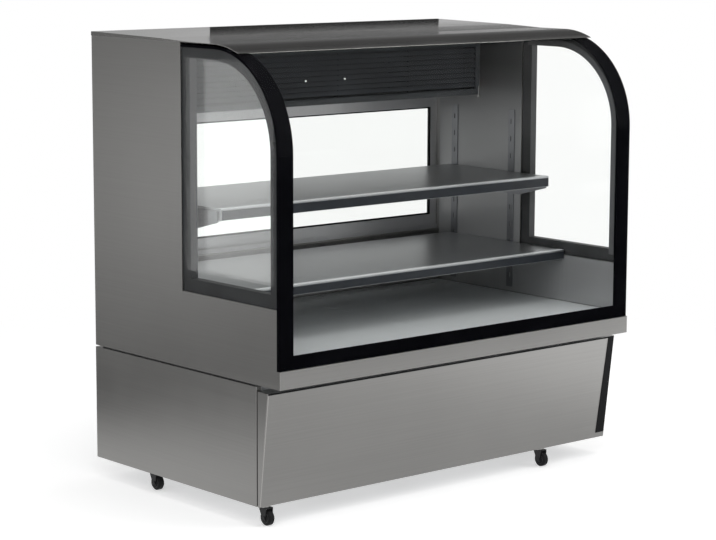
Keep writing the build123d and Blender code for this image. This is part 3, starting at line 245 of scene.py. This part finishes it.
# Painted highlight for the bend at the left end of the cover
bend_highlight_steel = brushed_steel("steel with a painted highlight on the bend", (0.50, 0.492, 0.478), "up", 0.24)
canopy_steel = brushed_steel("canopy steel, ground across", STEEL, "across", 0.16)
aluminium = brushed_steel("satin aluminium", (0.60, 0.60, 0.61), "up", 0.36)
track_aluminium = brushed_steel("satin aluminium channel", (0.58, 0.58, 0.59), "across", 0.36)
zinc_sheet = even_grain("galvanised sheet", (0.42, 0.43, 0.44), 0.46, 90, 0.0001, metallic=0.9)
zinc_plate = even_grain("zinc plating", (0.50, 0.50, 0.49), 0.34, 260, 0.0001, metallic=1.0)
dark_zinc = even_grain("black zinc plating", (0.045, 0.045, 0.047), 0.44, 260, 0.00003, metallic=1.0)
bright_metal = even_grain("bright plated screw", (0.78, 0.78, 0.76), 0.16, 400, 0.00005, metallic=1.0)
copper = even_grain("drawn copper", (0.72, 0.33, 0.19), 0.30, 160, 0.0001, metallic=1.0)
fins = finned_metal("coil fins", (0.62, 0.63, 0.63))
coated_fins = finned_metal("coated cooler fins", (0.05, 0.052, 0.055))

# Glass and the bands printed on it
front_pane = clear_pane("bent front glass", (0.992, 0.996, 0.992), 0.003, 0.04)
side_pane = clear_pane("side glass", (0.993, 0.998, 0.995), 0.021, 0.45)
far_pane = clear_pane("side glass away from the light", (0.998, 0.999, 0.998), 0.003, 0.45)
door_pane = clear_pane("door glass", (0.99, 0.995, 0.99), 0.02, 0.5)
front_black = even_grain("black enamel behind the front glass", (0.003, 0.003, 0.004), 0.30, 60, 0.00001,
                         gloss=0.0)
side_black = even_grain("black band between the side panes", (0.034, 0.035, 0.037), 0.42, 240, 0.00002,
                        gloss=0.2)
# Lighter copy of the black band, used on the right side
right_black = even_grain("lighter band between the right side panes", (0.060, 0.061, 0.063), 0.42, 240, 0.00002,
                       gloss=0.2)
band_grey = even_grain("grey printed band", (0.115, 0.117, 0.122), 0.42, 240, 0.00002, gloss=0.2)

# Enamel, plastic and rubber
hood_enamel = even_grain("dark hood enamel", (0.032, 0.035, 0.038), 0.56, 160, 0.00002, gloss=0.2)
louvre_enamel = even_grain("dark louvre enamel", (0.038, 0.041, 0.046), 0.68, 160, 0.00002, gloss=0.05)
matt_black = even_grain("matt black behind the louvres", (0.006, 0.006, 0.007), 0.80, 400, 0.00002, gloss=0.03)
black_enamel = even_grain("black stove enamel", (0.013, 0.013, 0.014), 0.25, 300, 0.0002)
black_plastic = even_grain("black moulded plastic", (0.010, 0.010, 0.011), 0.42, 1500, 0.0002, gloss=0.3)
drip_plastic = even_grain("grey drip tray plastic", (0.34, 0.35, 0.36), 0.48, 900, 0.0002)
edge_dark = even_grain("dark shelf edging", (0.016, 0.019, 0.024), 0.34, 200, 0.00002, gloss=0.35)
# Black for the painted dark reflection at the right end of the cover and the painted shadow on its top edge
black_painted_shadow_and_reflection = even_grain("black for painted shadow and reflection", (0.004, 0.004, 0.005), 0.50, 200, 0.00002, gloss=0.12)
tread = even_grain("black wheel rubber", (0.008, 0.008, 0.009), 0.60, 900, 0.00005, gloss=0.2)
hub_grey = even_grain("grey wheel hub", (0.055, 0.055, 0.058), 0.50, 900, 0.00003, gloss=0.3)
gasket_rubber = even_grain("black pane gasket", (0.012, 0.012, 0.013), 0.62, 600, 0.00005, gloss=0.2)
grey_wool = even_grain("grey wool strip", (0.13, 0.13, 0.13), 0.95, 2600, 0.0004, gloss=0.1)
button_grey = even_grain("grey button rubber", (0.20, 0.20, 0.21), 0.5, 900, 0.0001)
display_lens = even_grain("smoked display lens", (0.03, 0.006, 0.006), 0.08, 300, 0.00002)
mark_white = even_grain("white printed mark", (0.75, 0.75, 0.74), 0.50, 500, 0.00002, gloss=0.3)
lens_white = lit_lens("opal lamp lens", (0.72, 0.73, 0.72), 2.5)
digit_red = lit_lens("red lit digits", (0.75, 0.05, 0.03), 1.6, (1.0, 0.10, 0.05))

CORNERS = ("fl", "fr", "rl", "rr")
FINISHES = {
    side_steel: ["side_wall_left", "side_wall_right", "base_side_left", "base_side_right"],
    front_steel: ["front_fascia", "base_front_cover", "rear_sill_panel", "rear_header"],
    canopy_steel: ["canopy_top"],
    inner_steel: ["upper_shelf", "lower_shelf", "ceiling_panel"],
    deck_steel: ["insulated_tub", "deck_panels"],
    strip_steel: ["shelf_arms", "shelf_strips"],
    zinc_sheet: ["base_frame", "base_rear_grille", "condenser_shroud"],
    front_pane: ["front_glass"],
    side_pane: ["side_glass_left"],
    far_pane: ["side_glass_right"],
    door_pane: ["door_left_glass", "door_right_glass"],
    front_black: ["front_glass_border"],
    side_black: ["side_border_left"],
    right_black: ["side_border_right"],
    aluminium: ["door_left_frame", "door_right_frame"],
    track_aluminium: ["door_tracks", "lamp_housing"],
    hood_enamel: ["evap_hood"],
    louvre_enamel: ["evap_grille"],
    lens_white: ["lamp_diffuser"],
    fins: ["condenser_coil"],
    coated_fins: ["evap_coil"],
    black_plastic: ["condenser_fan", "control_panel", "light_switch", "power_switch",
                    "electrical_box", "cable_gland"],
    matt_black: ["evap_fan_left", "evap_fan_right", "evap_fan_motors"],
    black_enamel: ["compressor", "condenser_fan_motor", "filter_drier"],
    copper: ["refrigerant_pipes"],
    drip_plastic: ["condensate_tray"],
    zinc_plate: ["panel_screws", "caster_plates"],
    dark_zinc: [f"caster_fork_{corner}" for corner in CORNERS],
    tread: [f"caster_wheel_{corner}" for corner in CORNERS],
}
for finish, names in FINISHES.items():
    for name in names:
        for slot in nodes[name].material_slots:
            slot.material = finish


# Trim pieces

SHARP_ANGLE = 0.5
WIRE_SIDES = 6


def fitted(name, form, finish, body):
    """Makes a shaped form a piece that rides on its part of the case."""
    bmesh.ops.recalc_face_normals(form, faces=form.faces)
    mesh = bpy.data.meshes.new(name)
    form.to_mesh(mesh)
    form.free()
    mesh.materials.append(finish)
    piece = bpy.data.objects.new(name, mesh)
    bpy.context.scene.collection.objects.link(piece)
    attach(piece, body)


def verts_in(result):
    """Vertices that an operator made."""
    return [part for part in result["geom"] if isinstance(part, bmesh.types.BMVert)]


def thicken(form, faces, push):
    """Pushes faces out to a thickness."""
    pushed = bmesh.ops.extrude_face_region(form, geom=faces)
    bmesh.ops.translate(form, verts=verts_in(pushed), vec=push)


def sheet_from(form, corners, push):
    """Flat sheet through the corners, pushed out to a thickness."""
    thicken(form, [form.faces.new([form.verts.new(corner) for corner in corners])], push)


def upright_sheet(form, x, z, y, push):
    """Flat sheet between two X and two Z values, pushed out to a thickness along Y."""
    sheet_from(form, [(x[0], y, z[0]), (x[1], y, z[0]), (x[1], y, z[1]), (x[0], y, z[1])], Vector((0, push, 0)))


def upright_frame(form, x, z, width, y, push):
    """Flat frame inside two X and two Z values, pushed out to a thickness along Y."""
    sheet = form.faces.new([form.verts.new(corner) for corner in (
        (x[0], y, z[0]), (x[1], y, z[0]), (x[1], y, z[1]), (x[0], y, z[1]))])
    sheet.normal_update()
    rim = bmesh.ops.inset_region(form, faces=[sheet], thickness=width, use_boundary=True, use_even_offset=True)
    bmesh.ops.delete(form, geom=[sheet], context="FACES_ONLY")
    thicken(form, rim["faces"], Vector((0, push, 0)))


def soften(form, width):
    """Rounds every sharp edge."""
    sharp = [edge for edge in form.edges if len(edge.link_faces) == 2 and edge.calc_face_angle() > SHARP_ANGLE]
    bmesh.ops.bevel(form, geom=sharp, offset=width, affect="EDGES", segments=2, profile=0.5, material=-1)


def facing(axis):
    """Turn that takes Z to an axis."""
    return Vector((0, 0, 1)).rotation_difference(Vector(axis)).to_matrix().to_4x4()


def disc(form, centre, axis, radius, length, segments=24, rim=0.0):
    """Round or many-sided plug along an axis, with a bevelled rim."""
    made = bmesh.ops.create_cone(form, cap_ends=True, segments=segments, radius1=radius,
                                 radius2=radius - rim, depth=length)
    bmesh.ops.transform(form, matrix=Matrix.Translation(centre) @ facing(axis), verts=made["verts"])


def ring(form, centre, axis, radius, wire, segments):
    """Round wire closed into a ring about an axis."""
    first = len(form.verts)
    on_edge = Matrix.Translation((radius, 0, 0)) @ Matrix.Rotation(math.radians(90), 4, "X")
    made = bmesh.ops.create_circle(form, cap_ends=False, segments=WIRE_SIDES, radius=wire, matrix=on_edge)
    edges = list({edge for vert in made["verts"] for edge in vert.link_edges})
    bmesh.ops.spin(form, geom=made["verts"] + edges, cent=(0, 0, 0), axis=(0, 0, 1), dvec=(0, 0, 0),
                   angle=math.tau, steps=segments, use_merge=True, use_duplicate=False)
    form.verts.ensure_lookup_table()
    bmesh.ops.transform(form, matrix=Matrix.Translation(centre) @ facing(axis), verts=form.verts[first:])


# Front of the sloping cover
cover_low, cover_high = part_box("base_front_cover")
COVER_LEAN = 0.035
COVER_EDGE = 0.002
# Painted shadow along the top edge of the cover, this tall
TOP_SHADOW_HEIGHT = 0.0045
top_shadow_foot = cover_high.z - TOP_SHADOW_HEIGHT


def cover_front(x, z):
    """Place on the cover's leaning front."""
    lean = COVER_LEAN * (cover_high.z - z) / (cover_high.z - cover_low.z)
    return Vector((x, cover_low.y + lean, z))


def cover_strip(name, finish, head_x, foot_x, head, foot, thick, rounding):
    """Flat strip on the cover, from its two X values at the head to those at the foot."""
    strip = bmesh.new()
    sheet_from(strip, [cover_front(head_x[0], head), cover_front(head_x[1], head),
                       cover_front(foot_x[1], foot), cover_front(foot_x[0], foot)], Vector((0, -thick, 0)))
    soften(strip, rounding)
    fitted(name, strip, finish, "cabinet")


# Black strip at the right end of the cover, wider at its foot: a painted dark reflection
STRIP_TOP_WIDTH = 0.025
STRIP_FOOT_WIDTH = 0.036
STRIP_FOOT = 0.014
x_end = cover_high.x - 0.003
cover_strip("cover_end_painted_reflection", black_painted_shadow_and_reflection, (cover_high.x - STRIP_TOP_WIDTH, x_end),
            (cover_high.x - STRIP_FOOT_WIDTH, x_end), cover_high.z - COVER_EDGE, cover_low.z + STRIP_FOOT,
            0.0012, 0.0004)

# Painted highlight along the bend at the left end
HIGHLIGHT_WIDTH = 0.0026
x_corner = cover_low.x + 0.0004
highlight_x = (x_corner, x_corner + HIGHLIGHT_WIDTH)
cover_strip("cover_bend_painted_highlight", bend_highlight_steel, highlight_x, highlight_x, top_shadow_foot, cover_low.z + COVER_EDGE,
            0.0005, 0.0002)

# Black strip on the top edge, a painted shadow under the front strip
top_shadow_x = (cover_low.x + 0.001, x_end)
cover_strip("cover_top_painted_shadow", black_painted_shadow_and_reflection, top_shadow_x, top_shadow_x, cover_high.z, top_shadow_foot,
            0.0008, 0.0002)

# Rolled lip of the canopy, down over the head of the bent glass
bend_low, bend_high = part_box("front_glass")
canopy_low, canopy_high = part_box("canopy_top")
BEND_RADIUS = 0.260
LIP_REACH = 0.024
LIP_THICK = 0.0014
LIP_LIFT = 0.0001
LIP_STEPS = 6
bend_y = bend_low.y + BEND_RADIUS
bend_z = bend_high.z - BEND_RADIUS
bend_axis = {"cent": (0, bend_y, bend_z), "axis": (1, 0, 0), "dvec": (0, 0, 0), "use_duplicate": False}
lip_start = math.asin((bend_y - canopy_low.y) / BEND_RADIUS)
lip = bmesh.new()
section = lip.faces.new([
    lip.verts.new((x, bend_y - radius * math.sin(lip_start), bend_z + radius * math.cos(lip_start)))
    for x, radius in ((canopy_low.x, BEND_RADIUS + LIP_LIFT), (canopy_high.x, BEND_RADIUS + LIP_LIFT),
                      (canopy_high.x, BEND_RADIUS + LIP_THICK), (canopy_low.x, BEND_RADIUS + LIP_THICK))])
bmesh.ops.spin(lip, geom=[section, *section.edges, *section.verts], angle=LIP_REACH / BEND_RADIUS,
               steps=LIP_STEPS, **bend_axis)
fitted("canopy_lip", lip, canopy_steel, "cabinet")

# Printed band on the inner face of both side windows, along the bend
BAND_START = 0.030
BAND_END = 0.048
BAND_MARGIN = 0.020
BAND_THICK = 0.0003
BAND_STEPS = 24
for side, inward, finish in (("left", 1, side_black), ("right", -1, band_grey)):
    low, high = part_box(f"side_glass_{side}")
    pane_x = high.x if inward > 0 else low.x
    foot, rear = low.z + BAND_MARGIN, high.y - BAND_MARGIN
    band = bmesh.new()
    edge = band.edges.new([band.verts.new((pane_x, bend_low.y + inset, foot))
                           for inset in (BAND_START, BAND_END)])
    risen = bmesh.ops.extrude_edge_only(band, edges=[edge])
    bmesh.ops.translate(band, verts=verts_in(risen), vec=(0, 0, bend_z - foot))
    head = [part for part in risen["geom"] if not isinstance(part, bmesh.types.BMFace)]
    bent = bmesh.ops.spin(band, geom=head, angle=math.radians(-90), steps=BAND_STEPS, **bend_axis)
    last = [part for part in bent["geom_last"] if isinstance(part, bmesh.types.BMEdge)]
    back = bmesh.ops.extrude_edge_only(band, edges=last)
    bmesh.ops.translate(band, verts=verts_in(back), vec=(0, rear - bend_y, 0))
    thicken(band, band.faces[:], Vector((inward * BAND_THICK, 0, 0)))
    fitted(f"window_band_{side}", band, finish, "cabinet")

# Dark edging on the front of both shelves, under a painted highlight along their front tops
HIGHLIGHT_DEPTH = 0.016
EDGING_IN = 0.001
EDGING_BELOW = 0.005
for shelf in ("upper_shelf", "lower_shelf"):
    low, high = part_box(shelf)
    shelf_x = (low.x + EDGING_IN, high.x - EDGING_IN)
    edging = bmesh.new()
    upright_sheet(edging, shelf_x, (low.z + EDGING_IN, high.z - EDGING_BELOW), low.y, -0.0012)
    soften(edging, 0.0004)
    fitted(f"{shelf}_edging", edging, edge_dark, "cabinet")
    # Thin bright sheet on the shelf's front top: a painted highlight
    painted_highlight = bmesh.new()
    sheet_from(painted_highlight, [(shelf_x[0], low.y + 0.0005, high.z), (shelf_x[1], low.y + 0.0005, high.z),
                     (shelf_x[1], low.y + HIGHLIGHT_DEPTH, high.z), (shelf_x[0], low.y + HIGHLIGHT_DEPTH, high.z)],
               Vector((0, 0, 0.0004)))
    soften(painted_highlight, 0.00015)
    fitted(f"{shelf}_hem", painted_highlight, shelf_highlight_steel, "cabinet")

# Thin steel liners on the inner faces of the side walls, below and behind the side windows, carrying painted
# shade under the hood
LINER_THICK = 0.0004
LINER_FOOT = 0.066
LINER_HEAD = 0.040
LINER_REAR = 0.052
FRONT_MARGIN = 0.004
WINDOW_MARGIN = 0.002
for side, inward in (("left", 1), ("right", -1)):
    low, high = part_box(f"side_wall_{side}")
    glass_low, glass_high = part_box(f"side_glass_{side}")
    inner_x = high.x if inward > 0 else low.x
    front, rear, sill = low.y + FRONT_MARGIN, high.y - LINER_REAR, glass_low.z - WINDOW_MARGIN
    foot, head, behind = low.z + LINER_FOOT, high.z - LINER_HEAD, glass_high.y + WINDOW_MARGIN
    liner = bmesh.new()
    outline = ((front, foot), (rear, foot), (rear, head), (behind, head), (behind, sill), (front, sill))
    sheet_from(liner, [(inner_x, y, z) for y, z in outline], Vector((inward * LINER_THICK, 0, 0)))
    fitted(f"liner_{side}", liner, liner_steel_painted_shade, "cabinet")

# Screws of the louvred grille
grille_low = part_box("evap_grille")[0]
GRILLE_SCREWS = (-0.140, -0.001)
SCREW_HEIGHT = 1.077
screws = bmesh.new()
for x in GRILLE_SCREWS:
    disc(screws, (x, grille_low.y + 0.001, SCREW_HEIGHT), (0, -1, 0), 0.0045, 0.003, rim=0.0015)
fitted("grille_screws", screws, bright_metal, "cabinet")

# Clip at the right end of the hood: a hooked blade over a foot, in X and Z from the hood's corner
hood_low, hood_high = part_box("evap_hood")
CLIP_IN = 0.003
CLIP_BLADE = ((-0.003, -0.004), (0.003, -0.004), (0.003, 0.024),
              (-0.001, 0.024), (-0.006, 0.018), (-0.003, 0.018))
clip = bmesh.new()
clip_x = hood_high.x - CLIP_IN
sheet_from(clip, [(clip_x + x, hood_low.y, hood_low.z + z) for x, z in CLIP_BLADE], Vector((0, -0.0015, 0)))
upright_sheet(clip, (clip_x - 0.006, clip_x + 0.006), (hood_low.z - 0.006, hood_low.z - 0.003),
              hood_low.y, -0.004)
soften(clip, 0.0003)
fitted("hood_clip", clip, bright_metal, "cabinet")

# Pane gaskets and wool strips of the rear doors
PANE_IN_RAIL = 0.008
GASKET_WIDTH = 0.004
GASKET_THICK = 0.0014
WOOL_IN = 0.012
WOOL_WIDTH = 0.006
WOOL_THICK = 0.0012
WOOL_MARGIN = 0.006
for side in ("left", "right"):
    low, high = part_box(f"door_{side}_frame")
    pane_low, pane_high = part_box(f"door_{side}_glass")
    pane_x = (pane_low.x + PANE_IN_RAIL, pane_high.x - PANE_IN_RAIL)
    pane_z = (pane_low.z + PANE_IN_RAIL, pane_high.z - PANE_IN_RAIL)
    seals = bmesh.new()
    upright_frame(seals, pane_x, pane_z, GASKET_WIDTH, pane_high.y, GASKET_THICK)
    upright_frame(seals, pane_x, pane_z, GASKET_WIDTH, pane_low.y, -GASKET_THICK)
    fitted(f"pane_gaskets_{side}", seals, gasket_rubber, f"door_{side}")
    wool = bmesh.new()
    wool_x, face_y, push = high.x - WOOL_IN, low.y, -WOOL_THICK
    if side == "right":
        wool_x, face_y, push = low.x + WOOL_IN, high.y, WOOL_THICK
    upright_sheet(wool, (wool_x, wool_x + WOOL_WIDTH), (low.z + WOOL_MARGIN, high.z - WOOL_MARGIN), face_y, push)
    soften(wool, 0.0004)
    fitted(f"wool_strip_{side}", wool, grey_wool, f"door_{side}")

# Axle nuts and hub rings of the casters
HUB_RINGS = (0.0075, 0.0130)
NUT_RADIUS = 0.0055
NUT_LENGTH = 0.003
NUT_SUNK = 0.001
for corner in CORNERS:
    low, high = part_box(f"caster_wheel_{corner}")
    centre = (low + high) / 2
    fork_low, fork_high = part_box(f"caster_fork_{corner}")
    nuts = bmesh.new()
    for x, out in ((fork_low.x + NUT_SUNK, -1), (fork_high.x - NUT_SUNK, 1)):
        disc(nuts, (x, centre.y, centre.z), (out, 0, 0), NUT_RADIUS, NUT_LENGTH, 6, 0.0006)
    fitted(f"axle_nuts_{corner}", nuts, dark_zinc, f"caster_swivel_{corner}")
    hub = bmesh.new()
    for x, out in ((low.x, -1), (high.x, 1)):
        for radius in HUB_RINGS:
            ring(hub, (x, centre.y, centre.z), (out, 0, 0), radius, 0.0006, 24)
    fitted(f"hub_rings_{corner}", hub, hub_grey, f"caster_wheel_{corner}")

# Display of the control panel
panel_low, panel_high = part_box("control_panel")
panel_mid = (panel_low + panel_high) / 2
LENS_OFFSET = 0.036
LENS_HALF = (0.030, 0.014)
LENS_RECESS = 0.001
LENS_THICK = 0.0006
lens_x = panel_mid.x - LENS_OFFSET
lens_y = panel_high.y - LENS_RECESS
lens = bmesh.new()
upright_sheet(lens, (lens_x - LENS_HALF[0], lens_x + LENS_HALF[0]),
              (panel_mid.z - LENS_HALF[1], panel_mid.z + LENS_HALF[1]), lens_y, LENS_THICK)
soften(lens, 0.0002)

# Digits built from seven bars: centre in X and Z as read from behind, and half sizes
FLAT_BAR = (0.0028, 0.0005)
TALL_BAR = (0.0005, 0.0022)
DIGIT_BARS = {
    "top": ((0.0, 0.0056), FLAT_BAR), "middle": ((0.0, 0.0), FLAT_BAR), "bottom": ((0.0, -0.0056), FLAT_BAR),
    "upper left": ((-0.0034, 0.0028), TALL_BAR), "upper right": ((0.0034, 0.0028), TALL_BAR),
    "lower left": ((-0.0034, -0.0028), TALL_BAR), "lower right": ((0.0034, -0.0028), TALL_BAR),
}
FOUR = ("upper left", "upper right", "middle", "lower right")
TWO = ("top", "upper right", "middle", "lower left", "bottom")
DIGIT_OFFSET = 0.0085
digits = bmesh.new()
for digit_x, bars in ((lens_x + DIGIT_OFFSET, FOUR), (lens_x - DIGIT_OFFSET, TWO)):
    for bar in bars:
        (x, z), (half_x, half_z) = DIGIT_BARS[bar]
        upright_sheet(digits, (digit_x - x - half_x, digit_x - x + half_x),
                      (panel_mid.z + z - half_z, panel_mid.z + z + half_z), lens_y + LENS_THICK, 0.0002)
fitted("display_digits", digits, digit_red, "cabinet")
fitted("display_lens", lens, display_lens, "cabinet")

# Buttons under the display
BUTTON_COUNT = 4
BUTTON_PITCH = 0.016
BUTTON_DROP = 0.020
buttons = bmesh.new()
for step in range(BUTTON_COUNT):
    across = (step - (BUTTON_COUNT - 1) / 2) * BUTTON_PITCH
    disc(buttons, (lens_x + across, panel_high.y - 0.0004, panel_mid.z - BUTTON_DROP), (0, 1, 0),
         0.0035, 0.0006, rim=0.0004)
fitted("panel_buttons", buttons, button_grey, "cabinet")

# On and off marks on the rockers, which lie tipped to their off side
ROCKER_TILT = 8
PIVOT_DEPTH = 0.0095
OFF_MARK = (0, 0.0058, -0.0080)
OFF_LEAN = (0, 1, 0.112)
ON_MARK = ((-0.0004, 0.0056, 0.0055), (0.0004, 0.0056, 0.0055),
           (0.0004, 0.0061, 0.0105), (-0.0004, 0.0061, 0.0105))
tipped = Matrix.Rotation(math.radians(-ROCKER_TILT), 4, "X")
for switch in ("light_switch", "power_switch"):
    low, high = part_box(switch)
    pivot = ((low.x + high.x) / 2, panel_high.y - PIVOT_DEPTH, panel_mid.z)
    marks = bmesh.new()
    ring(marks, OFF_MARK, OFF_LEAN, 0.0022, 0.00035, 20)
    sheet_from(marks, ON_MARK, Vector((0, 0.0003, 0)))
    bmesh.ops.transform(marks, matrix=Matrix.Translation(pivot) @ tipped, verts=marks.verts)
    fitted(f"{switch}_marks", marks, mark_white, switch)


# Studio

def seen_directly(tree):
    """One for rays from the camera, from gloss and through glass."""
    path = wired(tree, "LightPath")
    mirror = joined(tree, path.outputs["Is Glossy Ray"], path.outputs["Is Transmission Ray"], "MAXIMUM")
    return joined(tree, path.outputs["Is Camera Ray"], mirror, "MAXIMUM"), path


def rising(tree, source, reach, levels, how="SMOOTHSTEP"):
    """Brightness of what the metal mirrors, changing from the rear left to the front right."""
    parts = wired(tree, "SeparateXYZ", {"Vector": source})
    across = joined(tree, parts.outputs["X"], parts.outputs["Y"], "SUBTRACT")
    return moved(tree, across, reach, levels, how)


def glowing(tree, strength):
    """Plain light of a strength."""
    return wired(tree, "Emission", {"Strength": strength}).outputs["Emission"]


def mixed_by(tree, share, first, second):
    """First shader at a share of none, second at a share of one."""
    return wired(tree, "MixShader", {"Fac": share, 1: first, 2: second}).outputs["Shader"]


# Floor: pale paint under the case that fades to white, and graded tones for what the metal mirrors
FLOOR_REACH = 14.0
FADE = (1.2, 2.6)
FLOOR_GREY = (0.80, 0.80, 0.80, 1)
FLOOR_LIFT = 0.42
NEAR_REACH = 5.0
NEAR_BRIGHTEST = 1.5
NEAR_TONES = ((-4.6, 0.10), (-3.9, 0.42), (-3.1, 0.22), (-2.5, 0.03),
              (-1.55, 0.84), (0.96, 0.74), (1.62, 1.05), (2.28, 1.45))
NEAR_LAST = 0.95
FAR_REACH = (-1.0, 2.2)
FAR_LEVELS = (0.30, 1.10)
NEAR_TO_FAR = (1.8, 4.5)
floor_form = bmesh.new()
bmesh.ops.create_circle(floor_form, cap_ends=True, segments=64, radius=FLOOR_REACH)
floor_mesh = bpy.data.meshes.new("floor")
floor_form.to_mesh(floor_mesh)
floor_form.free()
floor = bpy.data.objects.new("floor", floor_mesh)
bpy.context.scene.collection.objects.link(floor)
floor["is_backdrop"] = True

floor_finish, tree, surface = bare_finish("pale floor")
place = wired(tree, "TexCoord").outputs["Object"]
distance = wired(tree, "VectorMath", {0: place}, operation="LENGTH").outputs["Value"]
paint = wired(tree, "BsdfDiffuse", {"Color": FLOOR_GREY}).outputs["BSDF"]
near_floor = wired(tree, "AddShader", {0: paint, 1: glowing(tree, FLOOR_LIFT)}).outputs["Shader"]
fade = moved(tree, distance, FADE, SHARE, "SMOOTHSTEP")
seen_floor = mixed_by(tree, fade, near_floor, glowing(tree, 1.0))

along = rising(tree, place, (-NEAR_REACH, NEAR_REACH), SHARE, "LINEAR")
near_tone = wired(tree, "FloatCurve", {"Factor": 1.0, "Value": along})
near_curve = near_tone.mapping.curves[0]
near_curve.points[0].location = (0.0, 0.0)
near_curve.points[1].location = (1.0, NEAR_LAST)
for place_along, level in NEAR_TONES:
    near_curve.points.new((place_along + NEAR_REACH) / (2 * NEAR_REACH), level / NEAR_BRIGHTEST)
near_tone.mapping.update()
close_by = joined(tree, near_tone.outputs["Value"], NEAR_BRIGHTEST)
floor_gloss = wired(tree, "Mix", {
    "Factor": moved(tree, distance, NEAR_TO_FAR, SHARE), "A": close_by,
    "B": rising(tree, place, FAR_REACH, FAR_LEVELS)}, data_type="FLOAT").outputs["Result"]
direct, path = seen_directly(tree)
shown = mixed_by(tree, path.outputs["Is Glossy Ray"], seen_floor, glowing(tree, floor_gloss))
tree.links.new(mixed_by(tree, direct, paint, shown), surface)
floor_mesh.materials.append(floor_finish)

# Room: soft light on the case, white where it is seen, graded where the metal mirrors it
ROOM_LIGHT = 0.55
ROOM_REACH = (-0.9, 1.2)
ROOM_LEVELS = (0.30, 1.1)
WHITE = (1, 1, 1, 1)
world = bpy.data.worlds.new("pale room")
bpy.context.scene.world = world
world.use_nodes = True
tree = world.node_tree
soft = tree.nodes["Background"]
soft.inputs["Color"].default_value = WHITE
soft.inputs["Strength"].default_value = ROOM_LIGHT
direct, path = seen_directly(tree)
heading = wired(tree, "TexCoord").outputs["Generated"]
level = wired(tree, "Mix", {"Factor": path.outputs["Is Glossy Ray"], "A": 1.0,
                            "B": rising(tree, heading, ROOM_REACH, ROOM_LEVELS)}, data_type="FLOAT")
backdrop = wired(tree, "Background", {"Color": WHITE, "Strength": level.outputs["Result"]})
room = mixed_by(tree, direct, soft.outputs["Background"], backdrop.outputs["Background"])
tree.links.new(room, tree.nodes["World Output"].inputs["Surface"])


def card(name, corners, brightness):
    """Board beside the case that only shows in its polished faces."""
    form = bmesh.new()
    form.faces.new([form.verts.new(corner) for corner in corners])
    mesh = bpy.data.meshes.new(name)
    form.to_mesh(mesh)
    form.free()
    finish, tree, surface = bare_finish(name)
    tree.links.new(glowing(tree, brightness), surface)
    mesh.materials.append(finish)
    board = bpy.data.objects.new(name, mesh)
    bpy.context.scene.collection.objects.link(board)
    for kind in ("camera", "diffuse", "transmission", "shadow"):
        setattr(board, f"visible_{kind}", False)
    board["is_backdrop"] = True


def board_across(name, x, z, y, brightness):
    """Board facing along Y, between two X values and two Z values."""
    card(name, [(x[0], y, z[0]), (x[1], y, z[0]), (x[1], y, z[1]), (x[0], y, z[1])], brightness)


# The front glass mirrors a dark board, the left window a bright one, the roof the rear ones
REAR_Y = 0.42
board_across("dark front board", (0.30, 2.36), (0.0, 0.76), -2.0, 0.03)
card("bright left board", [(-3.0, 2.60, 0.0), (-3.0, 3.20, 0.0), (-3.0, 3.20, 0.92), (-3.0, 2.60, 0.92)], 2.5)
board_across("dark rear board", (-0.214, 0.653), (1.215, 1.247), REAR_Y, 0.03)
card("grey rear board", [(-0.214, REAR_Y, 1.253), (2.0, REAR_Y, 1.262), (2.0, REAR_Y, 1.42),
                         (-0.214, REAR_Y, 1.42)], 0.16)
board_across("upper rear board", (-0.8, 2.6), (1.42, 2.0), REAR_Y, 0.10)


def softbox(name, place, aim, width, power, mirrored=True):
    """Square lamp aimed at the case, which the metal mirrors or not."""
    lamp = bpy.data.lights.new(name, "AREA")
    lamp.shape = "SQUARE"
    lamp.size = width
    lamp.energy = power
    box = bpy.data.objects.new(name, lamp)
    box.location = place
    box.rotation_mode = "QUATERNION"
    box.rotation_quaternion = (Vector(aim) - Vector(place)).to_track_quat("-Z", "Y")
    box.visible_glossy = mirrored
    bpy.context.scene.collection.objects.link(box)


softbox("left softbox", (-3.6, -2.6, 3.2), (0, 0, 0.6), 3.4, 60, mirrored=False)
softbox("right softbox", (3.2, -3.4, 2.4), (0.2, 0, 0.5), 3.4, 72, mirrored=False)
softbox("top softbox", (0, -0.6, 4.2), (0, 0, 0.6), 3.0, 60)

# Camera in the photographer's place
FRAME_WIDTH = 716
FOCAL_PIXELS = 2278
HEADING = 40.74
LOOK_DOWN = 8.86
ROLL = 0.19
STAND = (-4.058, -4.678, 1.522)
view = bpy.data.cameras.new("camera")
view.sensor_fit = "HORIZONTAL"
view.sensor_width = 36.0
view.lens = FOCAL_PIXELS * view.sensor_width / FRAME_WIDTH
view.clip_end = 100.0
camera = bpy.data.objects.new("camera", view)
turned = (Matrix.Rotation(math.radians(-HEADING), 4, "Z")
          @ Matrix.Rotation(math.radians(90 - LOOK_DOWN), 4, "X")
          @ Matrix.Rotation(math.radians(ROLL), 4, "Z"))
camera.matrix_world = Matrix.Translation(STAND) @ turned
bpy.context.scene.collection.objects.link(camera)
bpy.context.scene.camera = camera
bpy.context.scene.view_settings.view_transform = "Standard"

low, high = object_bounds()
